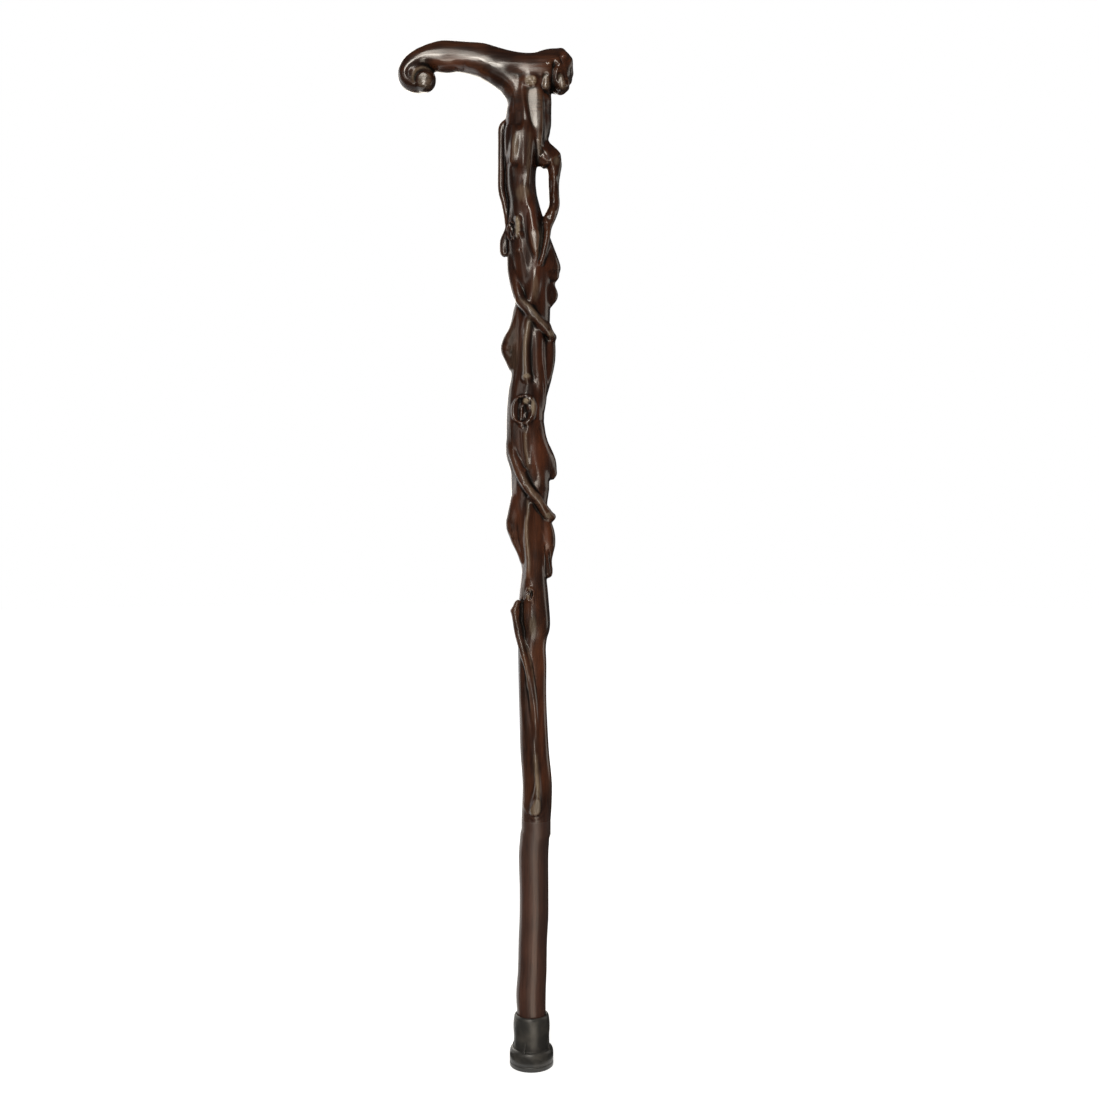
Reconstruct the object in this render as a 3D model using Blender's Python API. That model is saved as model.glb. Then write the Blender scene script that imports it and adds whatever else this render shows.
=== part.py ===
# Wooden walking cane with a carved root-work shaft, a scrolled handle and a rubber ferrule.
# Metres, +Z up. The origin is the centre of the ferrule's underside, the handle's grip points to -X
# and the front of the cane faces -Y.

import math

import bmesh
import bpy
from mathutils import Matrix, Vector

# The shape lists below are in millimetres, and this turns them into metres.
MM = 0.001

# Gap left between two pieces that touch on the real cane.
FACE_GAP = 0.0003

# Rubber ferrule.
FERRULE_HEIGHT = 0.045
FERRULE_BASE_DIAMETER = 0.0384
FERRULE_COLLAR_DIAMETER = 0.032
FERRULE_MOUTH_DIAMETER = 0.0306
FERRULE_FLOOR = 0.008
FERRULE_SHOULDER_Z = 0.0162
FERRULE_EDGE_RADIUS = 0.001
FERRULE_SEGMENTS = 40
TREAD_DEPTH = 0.0012
TREAD_GROOVE_WIDTH = 0.002
TREAD_PITCH = 0.0055
TREAD_GROOVES = 2
RIB_COUNT = 4
RIB_THICKNESS = 0.0018
RIB_HEIGHT = 0.009
RIB_SUNK = 0.001
RIB_FIRST_BEARING = -25.0
# Rounded edge of the shoulder and of the mouth, in millimetres: inset from the base or the mouth,
# drop below the shoulder or the rim.
SHOULDER_ROUNDING = ((0.0, 4.4), (0.5, 2.0), (1.6, 0.5))
MOUTH_ROUNDING = ((-0.3, 3.4), (0.4, 1.2), (1.4, 0.0))
COLLAR_WAIST = 0.0003
COLLAR_WAIST_HEIGHT = 0.002
MOUTH_CHAMFER = 0.0005

# Steel washer in the ferrule.
WASHER_DIAMETER = 0.0236
WASHER_HOLE_DIAMETER = 0.0065
WASHER_THICKNESS = 0.002

# Turned lower shaft.
SHAFT_DIAMETER = 0.0252
LOWER_SHAFT_LENGTH = 0.2044
SHAFT_END_CHAMFER = 0.001
SHAFT_SEGMENTS = 32

# Carved upper shaft and the joint between the two shafts.
CARVED_LENGTH = 0.617
JOINT_DIAMETER = 0.0258
JOINT_X = 0.004

# Handle.
HANDLE_LENGTH = 0.155
NECK_WIDTH = 0.0404
NECK_DEPTH = 0.0348
NECK_X = -0.0026

# Threaded steel dowels in the two joints.
HANDLE_STUD_DIAMETER = 0.01
HANDLE_STUD_LENGTH = 0.07
SHAFT_STUD_DIAMETER = 0.008
SHAFT_STUD_LENGTH = 0.06
STUD_CHAMFER = 0.0012
STUD_SEGMENTS = 20

# How finely the carved wood is built.
CARVING_VOXEL = 0.0014
UPPER_SHAFT_DETAIL = 0.042
HANDLE_DETAIL = 0.075
STRAND_SIDES = 12
TRUNK_SIDES = 40
STEPS_PER_SPAN = 4
TRUNK_STEPS_PER_SPAN = 3
DOME_ANGLES = (40.0, 72.0)

# Levels that the sizes above give.
WASHER_Z = FERRULE_FLOOR + FACE_GAP
SHAFT_END_Z = WASHER_Z + WASHER_THICKNESS + FACE_GAP
LOWER_TOP_Z = SHAFT_END_Z + LOWER_SHAFT_LENGTH
CARVED_BOTTOM_Z = LOWER_TOP_Z + FACE_GAP
CARVED_TOP_Z = CARVED_BOTTOM_Z + CARVED_LENGTH
HANDLE_BOTTOM_Z = CARVED_TOP_Z + FACE_GAP
FERRULE_BORE_RADIUS = SHAFT_DIAMETER / 2 + FACE_GAP

# Turned shaft between the ferrule's mouth and the joint: share of that height, drift of the
# centre as a share of the joint's offset, radius as a share of the shaft's radius.
TURNED_STATIONS = (
    (0.10, -0.12, 1.045),
    (0.22, 0.15, 1.012),
    (0.37, 0.28, 1.005),
    (0.50, 0.52, 1.018),
    (0.62, 0.55, 1.012),
    (0.81, 0.46, 1.042),
    (0.90, 0.68, 1.036),
)

# Trunk of the carved shaft: height above its lower end, centre x, half width, half depth.
# The two end stations come from the joint and from the neck.
TRUNK_STATIONS = (
    (31, 5.0, 12.8, 12.8),
    (63, 2.6, 12.4, 12.4),
    (100, 1.2, 12.0, 12.0),
    (135, 0.8, 12.2, 12.0),
    (150, 0.4, 12.0, 12.0),
    (159, 1.2, 12.2, 12.2),
    (167, 2.4, 13.4, 12.8),
    (177, 2.1, 14.1, 13.2),
    (201, 2.1, 12.2, 12.6),
    (219, 2.1, 10.7, 12.0),
    (237, 1.8, 11.9, 12.4),
    (261, -1.2, 14.6, 13.8),
    (285, -1.3, 15.2, 14.0),
    (304, -1.3, 15.4, 14.6),
    (321, -5.2, 17.6, 15.2),
    (336, -5.6, 16.8, 15.6),
    (357, -5.2, 16.6, 15.4),
    (375, -3.6, 16.6, 15.2),
    (393, -1.0, 16.4, 15.2),
    (421, -0.8, 16.7, 15.4),
    (447, 0.7, 15.6, 15.0),
    (459, 0.9, 15.7, 15.0),
    (480, 0.4, 18.2, 16.4),
    (501, -2.5, 19.0, 17.0),
    (522, -5.0, 16.8, 16.4),
    (541, -6.7, 13.4, 15.4),
    (555, -9.0, 13.0, 15.0),
    (572, -9.1, 13.4, 15.0),
    (589, -6.6, 16.5, 16.0),
    (601, -3.7, 19.4, 16.8),
)
TRUNK_TOP_MARK = 617

# Root strands, twigs and ridges that lie on the trunk. Each point is the height above the lower
# end, the bearing round the trunk in degrees (0 faces the front, 90 is +X), how far the strand's
# centre stands out from the trunk, and its radius.
FRONT_STRANDS = {
    "left_strand": (
        (613, -89, 1.0, 2.4),
        (608, -94, 3.2, 3.4),
        (590, -98, 3.6, 3.4),
        (559, -98, 4.6, 3.4),
        (542, -95, 3.4, 3.2),
        (528, -85, 0.2, 3.0),
        (516, -74, -1.2, 2.6),
    ),
    "finger_left": (
        (606, -40, -0.6, 5.0),
        (592, -37, 1.4, 6.0),
        (580, -38, 1.6, 5.4),
        (571, -42, 0.2, 3.4),
    ),
    "finger_middle": (
        (600, 6, -0.8, 3.6),
        (585, 12, 0.9, 3.4),
        (566, 30, 0.6, 2.8),
        (545, 40, 0.2, 2.6),
        (522, 24, -0.6, 2.2),
    ),
    "finger_right": (
        (604, 45, -0.4, 3.4),
        (594, 55, 1.0, 3.6),
        (584, 64, 1.6, 3.8),
    ),
    "flank_fold": (
        (526, 38, -0.2, 2.2),
        (508, 36, 0.7, 2.4),
        (492, 22, 0.2, 2.0),
    ),
    "hanging_lobe": (
        (518, -76, -1.0, 3.4),
        (509, -88, 1.4, 3.8),
        (500, -91, 3.4, 3.4),
        (493, -91, 4.4, 2.8),
    ),
    "right_bulge_upper": (
        (502, 80, -1.6, 4.4),
        (489, 85, 0.8, 4.8),
        (481, 88, 3.4, 4.2),
        (475, 88, 1.4, 3.2),
    ),
    "right_bulge_lower": (
        (469, 82, 0.2, 3.6),
        (461, 86, 3.0, 3.6),
        (455, 86, 0.4, 3.0),
    ),
    "upper_vine": (
        (494, -68, -1.2, 3.8),
        (480, -60, 0.6, 4.4),
        (463, -47, 1.8, 5.0),
        (450, -16, 2.6, 4.6),
        (434, 34, 3.4, 4.0),
        (424, 62, 4.6, 3.6),
        (420, 75, 5.6, 3.2),
    ),
    "left_spur_upper": (
        (433, -80, -1.8, 3.8),
        (424, -84, 0.8, 4.6),
        (415, -88, 4.6, 5.0),
        (407, -90, 3.4, 4.2),
        (400, -89, 1.0, 3.2),
        (393, -86, -1.6, 2.4),
    ),
    "right_root_upper": (
        (430, 70, 0.0, 4.0),
        (417, 80, 1.6, 4.4),
        (402, 82, 1.8, 4.2),
        (388, 82, 1.2, 3.6),
        (374, 78, -1.4, 2.6),
    ),
    "ridge_left": (
        (444, -20, -0.6, 2.6),
        (424, -14, 0.8, 2.8),
        (404, -13, 0.8, 2.6),
        (386, -12, -0.2, 2.2),
    ),
    "ridge_middle": (
        (437, 15, -0.6, 2.4),
        (419, 19, 0.6, 2.4),
        (396, 24, 0.6, 2.4),
        (376, 34, -0.4, 2.0),
    ),
    "fork_left": (
        (350, -44, -0.2, 2.6),
        (344, -31, 0.8, 2.8),
        (332, -3, 0.9, 2.8),
        (318, 2, 0.8, 2.4),
        (300, -8, 0.0, 2.0),
    ),
    "fork_right": (
        (352, 20, -0.4, 2.4),
        (342, 8, 0.7, 2.6),
        (332, -2, 0.8, 2.4),
    ),
    "right_bulge_middle": (
        (328, 74, -1.6, 3.8),
        (320, 80, 1.4, 5.0),
        (310, 84, 3.6, 5.0),
        (303, 86, 4.6, 3.8),
        (300, 87, 3.4, 3.0),
    ),
    "lower_vine": (
        (323, -62, -1.2, 3.4),
        (311, -46, 1.0, 4.2),
        (298, -27, 2.0, 4.4),
        (286, 3, 2.6, 4.4),
        (273, 46, 3.0, 3.8),
        (264, 67, 4.8, 4.0),
        (261, 78, 5.4, 4.2),
    ),
    "left_spur_lower": (
        (275, -82, -2.4, 3.4),
        (267, -86, 0.8, 4.2),
        (259, -90, 3.8, 4.0),
        (250, -88, 3.4, 3.4),
        (242, -84, 2.4, 2.8),
        (234, -80, 0.0, 2.2),
        (227, -74, -1.4, 1.6),
    ),
    "right_root_lower": (
        (264, 72, 0.0, 4.0),
        (254, 78, 2.0, 4.8),
        (244, 80, 2.8, 4.6),
        (235, 82, 1.8, 3.8),
        (224, 84, 2.0, 3.0),
        (217, 84, 2.8, 2.8),
    ),
    "long_ridge": (
        (278, -8, -0.6, 2.2),
        (261, -12, 0.7, 2.4),
        (240, -24, 0.8, 2.4),
        (221, -30, 0.7, 2.2),
        (204, -28, -0.6, 1.8),
    ),
    "twig_and_root": (
        (187, -70, 5.2, 2.8),
        (181, -67, 3.4, 4.0),
        (171, -66, 2.0, 4.0),
        (158, -54, 1.4, 3.8),
        (146, -38, 1.1, 3.2),
        (116, -17, 0.9, 2.8),
        (88, -4, 0.6, 2.4),
        (66, 2, -0.6, 2.0),
    ),
    "pruned_stub": (
        (58, -4, -1.0, 2.0),
        (42, 2, 0.8, 2.6),
        (29, 5, 1.8, 3.0),
        (21, 2, 3.0, 3.8),
        (14, -3, 3.4, 4.4),
        (10, -5, 2.4, 4.2),
    ),
}

BACK_STRANDS = {
    "back_root_upper": (
        (612, 138, -1.0, 4.6),
        (588, 150, 1.6, 5.0),
        (555, 163, 2.0, 4.6),
        (520, 176, 1.6, 4.6),
        (485, 192, 1.6, 4.6),
        (450, 206, 2.0, 4.6),
        (425, 218, 2.4, 4.0),
        (412, 228, 1.2, 3.2),
    ),
    "back_root_middle": (
        (505, 118, -0.6, 4.0),
        (480, 132, 1.6, 4.6),
        (450, 150, 2.0, 4.6),
        (420, 165, 2.0, 4.4),
        (385, 178, 1.6, 4.2),
        (350, 190, 1.4, 4.0),
        (315, 206, 2.0, 4.0),
        (290, 218, 2.2, 3.6),
        (278, 228, 1.0, 2.8),
    ),
    "back_root_lower": (
        (388, 118, -0.6, 3.6),
        (360, 128, 1.4, 4.2),
        (330, 142, 2.0, 4.2),
        (300, 158, 2.0, 4.0),
        (265, 170, 1.6, 3.8),
        (230, 182, 1.2, 3.4),
        (195, 195, 1.4, 3.2),
        (170, 208, 1.6, 3.0),
        (145, 214, 0.8, 2.6),
        (118, 218, -0.6, 2.0),
    ),
    "back_ridge": (
        (268, 118, -0.6, 3.0),
        (240, 128, 1.3, 3.4),
        (210, 142, 1.5, 3.2),
        (180, 150, 1.4, 3.0),
        (135, 160, 1.0, 2.8),
        (85, 166, 0.6, 2.4),
        (45, 170, -0.6, 2.0),
    ),
    "back_spur": (
        (548, 214, -1.0, 3.4),
        (538, 220, 2.2, 4.2),
        (529, 222, 2.8, 3.6),
        (520, 224, -0.6, 2.8),
    ),
}

# Raised rims round the knots: height, bearing, half width along the surface, half height, radius.
KNOTS = {
    "knot_top": (518, -47, 5.0, 9.0, 2.4),
    "knot_middle": (360, -12, 11.4, 12.8, 3.0),
    "knot_bottom": (198, -21, 3.6, 7.2, 1.8),
    "knot_back_top": (470, 222, 8.0, 10.0, 2.6),
    "knot_back_bottom": (345, 228, 6.0, 8.0, 2.2),
}

# Open branch on the right under the neck: x, y, height above the lower end, radius.
BRANCH = (
    (3.0, 0.0, 590, 10.0),
    (12.0, 0.0, 582, 9.2),
    (18.8, 0.0, 577.6, 7.8),
    (19.7, 0.0, 569, 5.8),
    (19.4, -0.4, 561, 5.0),
    (19.6, -1.2, 549, 4.8),
    (19.8, -2.0, 540, 4.9),
    (17.4, -3.4, 531, 5.0),
    (12.2, -7.0, 522, 4.4),
    (10.8, -11.6, 510, 3.8),
    (9.6, -15.4, 496, 3.0),
    (7.4, -17.0, 486, 2.0),
)
BRANCH_STUB = (
    (9.0, 0.0, 592, 7.5),
    (21.2, 0.0, 584, 4.8),
)

# Grip of the handle from the neck to the scroll: x, height above the joint, half height, half depth.
GRIP = (
    (36.8, 40.0, 1.0, 1.0),
    (35.2, 40.2, 8.6, 7.4),
    (32.0, 40.6, 14.6, 11.8),
    (26.0, 41.0, 18.6, 15.0),
    (15.0, 41.4, 18.2, 16.6),
    (3.0, 40.6, 15.2, 16.0),
    (-10.0, 41.4, 14.6, 15.0),
    (-22.9, 43.6, 15.2, 14.2),
    (-34.8, 47.6, 14.6, 13.6),
    (-44.9, 51.0, 14.2, 13.2),
    (-57.6, 53.1, 12.9, 13.0),
    (-66.9, 54.0, 12.6, 13.0),
    (-80.0, 53.6, 13.2, 13.0),
    (-93.6, 52.4, 9.6, 12.8),
    (-104.6, 47.0, 8.2, 12.4),
    (-110.6, 40.4, 6.8, 12.0),
    (-111.5, 34.2, 5.8, 11.8),
    (-108.8, 29.8, 5.0, 11.5),
    (-103.0, 27.2, 4.6, 11.2),
    (-96.8, 26.6, 4.0, 11.0),
    (-91.0, 29.0, 3.2, 10.6),
)
# Balls of the scroll's eye, in front and behind: x, y, height above the joint, half width, half depth.
SCROLL_EYES = (
    (-93.6, -4.0, 32.2, 9.8, 10.0),
    (-93.6, 3.0, 34.6, 9.4, 9.4),
)

# Fill between the grip and the neck, in the same form.
THROAT = (
    (-53.7, 51.6, 9.8, 11.0),
    (-39.6, 45.6, 11.6, 12.5),
    (-24.0, 37.0, 12.4, 14.0),
    (-13.2, 26.4, 12.8, 15.0),
    (-8.4, 15.8, 12.8, 15.8),
    (-7.0, 0.0, 13.0, 16.0),
    (-7.0, -8.0, 13.0, 16.0),
)

# Neck under the grip: x, height above the joint, half width and half depth as shares of the neck's.
NECK_STATIONS = (
    (-1.8, 9.0, 0.96, 1.0),
    (-1.4, 25.0, 0.93, 1.0),
    (0.0, 40.0, 0.90, 0.9),
)

# Lumps of the burl and of the neck: x, y, height above the joint, radius.
LUMPS = {
    "burl_top": (25.6, -3.0, 54.8, 5.6),
    "burl_bottom": (25.0, -1.0, 27.6, 8.0),
    "burl_back": (23.0, 10.6, 34.0, 7.0),
    "neck_knot": (0.0, -15.6, 26.6, 5.0),
}
BURL_RIDGES = (
    ((16.0, -13.0, 38.0, 4.4), (17.0, -14.6, 30.0, 4.6), (16.0, -13.0, 22.0, 3.6)),
    ((24.0, -13.0, 49.0, 3.8), (27.6, -11.6, 40.0, 4.0), (26.6, -10.4, 30.0, 3.6)),
    ((2.0, -15.4, 20.0, 3.6), (4.4, -15.6, 10.0, 4.2), (5.4, -15.4, -4.0, 3.8)),
)
GRIP_END_MARKS = (-117.5, 37.5)


def clear_scene():
    for obj in list(bpy.data.objects):
        bpy.data.objects.remove(obj, do_unlink=True)


def make_material(name, colour, roughness, metallic):
    material = bpy.data.materials.new(name)
    material.use_nodes = True
    shader = material.node_tree.nodes["Principled BSDF"]
    shader.inputs["Base Color"].default_value = (*colour, 1.0)
    shader.inputs["Roughness"].default_value = roughness
    shader.inputs["Metallic"].default_value = metallic
    return material


def spline(points, steps):
    """Smooth curve through the points, with the same number of steps in each span."""
    last = len(points) - 1
    smooth = []
    for index in range(last):
        before = points[max(index - 1, 0)]
        start = points[index]
        end = points[index + 1]
        after = points[min(index + 2, last)]
        for step in range(steps):
            t = step / steps
            smooth.append(tuple(catmull_rom(a, b, c, d, t) for a, b, c, d in zip(before, start, end, after)))
    smooth.append(tuple(points[last]))
    return smooth


def catmull_rom(before, start, end, after, t):
    leave = (end - before) / 2
    arrive = (after - start) / 2
    square = t * t
    cube = square * t
    return (
        (2 * cube - 3 * square + 1) * start
        + (cube - 2 * square + t) * leave
        + (3 * square - 2 * cube) * end
        + (cube - square) * arrive
    )


def add_level_ring(bm, centre, radius, sides):
    return add_ring(bm, centre, Vector((1, 0, 0)), Vector((0, 1, 0)), radius, radius, sides)


def add_ring(bm, centre, across, up, half_width, half_height, sides):
    ring = []
    for index in range(sides):
        angle = math.tau * index / sides
        offset = across * (half_width * math.cos(angle)) + up * (half_height * math.sin(angle))
        ring.append(bm.verts.new(centre + offset))
    return ring


def join_rings(bm, first, second):
    count = len(first)
    for index in range(count):
        after = (index + 1) % count
        bm.faces.new((first[index], first[after], second[after], second[index]))


def add_tube(bm, nodes, depth_axis, sides, closed=False):
    """Tube through nodes of (place, half width, half depth), with domed ends unless it is closed."""
    rings = []
    count = len(nodes)
    for index, (place, half_width, half_depth) in enumerate(nodes):
        before = nodes[(index - 1) % count if closed else max(index - 1, 0)][0]
        after = nodes[(index + 1) % count if closed else min(index + 1, count - 1)][0]
        along = (after - before).normalized()
        depth = depth_axis(place)
        depth = (depth - along * depth.dot(along)).normalized()
        across = along.cross(depth)
        rings.append((place, along, across, depth, half_width, half_depth))
    made = [add_ring(bm, p, a, d, w, h, sides) for p, _, a, d, w, h in rings]
    if closed:
        made.append(made[0])
    else:
        made = dome(bm, rings[0], -1, sides)[::-1] + made + dome(bm, rings[-1], 1, sides)
    for first, second in zip(made, made[1:]):
        join_rings(bm, first, second)
    if not closed:
        bm.faces.new(made[0][::-1])
        bm.faces.new(made[-1])


def dome(bm, ring, direction, sides):
    """Two smaller rings that round off a tube's end."""
    place, along, across, depth, half_width, half_depth = ring
    reach = min(half_width, half_depth)
    made = []
    for degrees in DOME_ANGLES:
        angle = math.radians(degrees)
        centre = place + along * (direction * reach * math.sin(angle))
        shrink = math.cos(angle)
        made.append(add_ring(bm, centre, across, depth, half_width * shrink, half_depth * shrink, sides))
    return made


def add_ball(bm, centre, radii):
    matrix = Matrix.Translation(centre) @ Matrix.Diagonal((*radii, 1.0))
    bmesh.ops.create_icosphere(bm, subdivisions=3, radius=1.0, matrix=matrix)


def finish_mesh(name, bm, material, smooth_angle=40.0):
    bmesh.ops.recalc_face_normals(bm, faces=bm.faces)
    mesh = bpy.data.meshes.new(name)
    bm.to_mesh(mesh)
    bm.free()
    mesh.materials.append(material)
    mesh.shade_smooth()
    mesh.set_sharp_from_angle(angle=math.radians(smooth_angle))
    obj = bpy.data.objects.new(name, mesh)
    bpy.context.scene.collection.objects.link(obj)
    return obj


def make_cutter(name, bm):
    bmesh.ops.recalc_face_normals(bm, faces=bm.faces)
    mesh = bpy.data.meshes.new(name)
    bm.to_mesh(mesh)
    bm.free()
    obj = bpy.data.objects.new(name, mesh)
    bpy.context.scene.collection.objects.link(obj)
    obj.hide_render = True
    obj.display_type = "WIRE"
    return obj


def block_cutter(name, low_z, high_z):
    """Block wider than the cane, between two heights."""
    bm = bmesh.new()
    width = HANDLE_LENGTH * 3
    size = Matrix.Diagonal((width, width, high_z - low_z, 1.0))
    place = Matrix.Translation((0.0, 0.0, (low_z + high_z) / 2))
    bmesh.ops.create_cube(bm, size=1.0, matrix=place @ size)
    return make_cutter(name, bm)


def bore_cutter(name, x, radius, low_z, high_z):
    bm = bmesh.new()
    bmesh.ops.create_cone(
        bm,
        cap_ends=True,
        segments=STUD_SEGMENTS,
        radius1=radius,
        radius2=radius,
        depth=high_z - low_z,
        matrix=Matrix.Translation((x, 0.0, (low_z + high_z) / 2)),
    )
    return make_cutter(name, bm)


def cut(obj, cutter, operation="DIFFERENCE"):
    modifier = obj.modifiers.new(cutter.name, "BOOLEAN")
    modifier.operation = operation
    modifier.solver = "EXACT"
    modifier.object = cutter


def carve_modifiers(obj, detail):
    """Melts the overlapping strands into one skin, softens it and thins out its faces."""
    remesh = obj.modifiers.new("one skin", "REMESH")
    remesh.mode = "VOXEL"
    remesh.voxel_size = CARVING_VOXEL
    remesh.use_smooth_shade = True
    soften = obj.modifiers.new("soften", "SMOOTH")
    soften.factor = 0.5
    soften.iterations = 2
    thin = obj.modifiers.new("thin", "DECIMATE")
    thin.ratio = detail


def trunk_stations():
    """Stations of the trunk in metres, from the joint below to the neck above."""
    scale = CARVED_LENGTH / TRUNK_TOP_MARK
    joint = (0.0, JOINT_X, JOINT_DIAMETER / 2, JOINT_DIAMETER / 2)
    neck = (CARVED_LENGTH, NECK_X, NECK_WIDTH / 2, NECK_DEPTH / 2)
    middle = [(mark * scale, x * MM, width * MM, depth * MM) for mark, x, width, depth in TRUNK_STATIONS]
    return [joint, *middle, neck]


def trunk_at(stations, height):
    """Centre x, half width and half depth of the trunk at one height above its lower end."""
    last = len(stations) - 1
    index = 0
    while index < last - 1 and stations[index + 1][0] < height:
        index += 1
    start = stations[index]
    end = stations[index + 1]
    before = stations[max(index - 1, 0)]
    after = stations[min(index + 2, last)]
    t = min(max((height - start[0]) / (end[0] - start[0]), 0.0), 1.0)
    return [catmull_rom(before[i], start[i], end[i], after[i], t) for i in (1, 2, 3)]


def on_trunk(stations, height, bearing, rise):
    """Place of a point that stands out from the trunk by rise."""
    x, half_width, half_depth = trunk_at(stations, height)
    angle = math.radians(bearing)
    out = Vector((math.sin(angle), -math.cos(angle), 0.0))
    surface = Vector((out.x * half_width, out.y * half_depth, 0.0))
    return Vector((x, 0.0, CARVED_BOTTOM_Z + height)) + surface + out * rise


def from_trunk_axis(stations):
    """Direction from the trunk's axis to a place, which is a strand's depth axis."""

    def direction(place):
        x = trunk_at(stations, place.z - CARVED_BOTTOM_Z)[0]
        return Vector((place.x - x, place.y, 0.0)).normalized()

    return direction


def add_trunk(bm, stations):
    nodes = []
    for height, x, half_width, half_depth in spline(stations, TRUNK_STEPS_PER_SPAN):
        nodes.append((Vector((x, 0.0, CARVED_BOTTOM_Z + height)), half_width, half_depth))
    # The trunk runs past both joints, and the cutting planes then give it flat ends.
    first, second = nodes[0], nodes[-1]
    past = Vector((0.0, 0.0, JOINT_DIAMETER / 4))
    nodes.insert(0, (first[0] - past, first[1], first[2]))
    nodes.append((second[0] + past, second[1], second[2]))
    add_tube(bm, nodes, lambda place: Vector((0.0, 1.0, 0.0)), TRUNK_SIDES)


def add_strand(bm, stations, points):
    scale = CARVED_LENGTH / TRUNK_TOP_MARK
    nodes = []
    for mark, bearing, rise, radius in spline(points, STEPS_PER_SPAN):
        place = on_trunk(stations, mark * scale, bearing, rise * MM)
        nodes.append((place, radius * MM, radius * MM))
    add_tube(bm, nodes, from_trunk_axis(stations), STRAND_SIDES)


def add_knot_rim(bm, stations, knot):
    mark, bearing, half_width, half_height, radius = knot
    scale = CARVED_LENGTH / TRUNK_TOP_MARK
    height = mark * scale
    trunk_radius = trunk_at(stations, height)[1]
    swing = math.degrees(half_width * MM / trunk_radius)
    nodes = []
    steps = STRAND_SIDES * 2
    for index in range(steps):
        angle = math.tau * index / steps
        place = on_trunk(
            stations,
            height + half_height * MM * math.sin(angle),
            bearing + swing * math.cos(angle),
            0.2 * radius * MM,
        )
        nodes.append((place, radius * MM, radius * MM))
    add_tube(bm, nodes, from_trunk_axis(stations), STRAND_SIDES, closed=True)


def add_branch(bm, points):
    """Strand given by places and not by its height on the trunk."""
    scale = CARVED_LENGTH / TRUNK_TOP_MARK
    nodes = []
    for x, y, mark, radius in spline(points, STEPS_PER_SPAN):
        place = Vector((x * MM, y * MM, CARVED_BOTTOM_Z + mark * scale))
        nodes.append((place, radius * MM, radius * MM))
    add_tube(bm, nodes, lambda place: Vector((0.0, 1.0, 0.0)), STRAND_SIDES)


def make_upper_shaft(material):
    bm = bmesh.new()
    stations = trunk_stations()
    add_trunk(bm, stations)
    for points in [*FRONT_STRANDS.values(), *BACK_STRANDS.values()]:
        add_strand(bm, stations, points)
    for knot in KNOTS.values():
        add_knot_rim(bm, stations, knot)
    add_branch(bm, BRANCH)
    add_branch(bm, BRANCH_STUB)
    shaft = finish_mesh("upper_shaft", bm, material)
    carve_modifiers(shaft, UPPER_SHAFT_DETAIL)
    past = NECK_WIDTH
    cut(shaft, block_cutter("upper_shaft_foot", CARVED_BOTTOM_Z - past, CARVED_BOTTOM_Z))
    cut(shaft, block_cutter("upper_shaft_head", CARVED_TOP_Z, CARVED_TOP_Z + past))
    cut(shaft, stud_bore("lower", JOINT_X, SHAFT_STUD_DIAMETER, CARVED_BOTTOM_Z, SHAFT_STUD_LENGTH, 1))
    cut(shaft, stud_bore("upper", NECK_X, HANDLE_STUD_DIAMETER, CARVED_TOP_Z, HANDLE_STUD_LENGTH, -1))
    return shaft


def stud_bore(name, x, stud_diameter, face_z, stud_length, direction):
    """Blind bore for half a stud, drilled from a joint face upwards or downwards."""
    radius = stud_diameter / 2 + FACE_GAP
    depth = stud_length / 2 + FACE_GAP
    ends = sorted((face_z - direction * NECK_WIDTH / 4, face_z + direction * depth))
    return bore_cutter(f"{name}_bore_{direction}", x, radius, *ends)


def make_handle(material):
    bm = bmesh.new()
    stretch = HANDLE_LENGTH / ((GRIP_END_MARKS[1] - GRIP_END_MARKS[0]) * MM)

    def place_at(x, y, height):
        return Vector((x * MM * stretch, y * MM, HANDLE_BOTTOM_Z + height * MM))

    def add_bar(points):
        nodes = []
        for x, height, half_height, half_depth in spline(points, STEPS_PER_SPAN):
            nodes.append((place_at(x, 0.0, height), half_height * MM, half_depth * MM))
        add_tube(bm, nodes, lambda place: Vector((0.0, 1.0, 0.0)), STRAND_SIDES * 2)

    def add_ridge(points):
        nodes = []
        for x, y, height, radius in spline(points, STEPS_PER_SPAN):
            nodes.append((place_at(x, y, height), radius * MM, radius * MM))
        add_tube(bm, nodes, lambda place: Vector((1.0, 0.0, 0.0)), STRAND_SIDES)

    add_bar(GRIP)
    add_bar(THROAT)
    add_neck(bm, place_at)
    for x, y, height, radius, depth in SCROLL_EYES:
        add_ball(bm, place_at(x, y, height), (radius * MM, depth * MM, radius * MM))
    for x, y, height, radius in LUMPS.values():
        add_ball(bm, place_at(x, y, height), (radius * MM,) * 3)
    for points in BURL_RIDGES:
        add_ridge(points)
    handle = finish_mesh("handle", bm, material)
    carve_modifiers(handle, HANDLE_DETAIL)
    cut(handle, block_cutter("handle_foot", HANDLE_BOTTOM_Z - NECK_WIDTH, HANDLE_BOTTOM_Z))
    cut(handle, stud_bore("handle", NECK_X, HANDLE_STUD_DIAMETER, HANDLE_BOTTOM_Z, HANDLE_STUD_LENGTH, 1))
    return handle


def add_neck(bm, place_at):
    half_width = NECK_WIDTH / 2
    half_depth = NECK_DEPTH / 2
    foot = Vector((NECK_X, 0.0, HANDLE_BOTTOM_Z))
    past = Vector((0.0, 0.0, half_width / 2))
    nodes = [(foot - past, half_width, half_depth), (foot, half_width, half_depth)]
    for x, height, width_share, depth_share in NECK_STATIONS:
        nodes.append((place_at(x, 0.0, height), half_width * width_share, half_depth * depth_share))
    add_tube(bm, nodes, lambda place: Vector((0.0, 1.0, 0.0)), TRUNK_SIDES)


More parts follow.
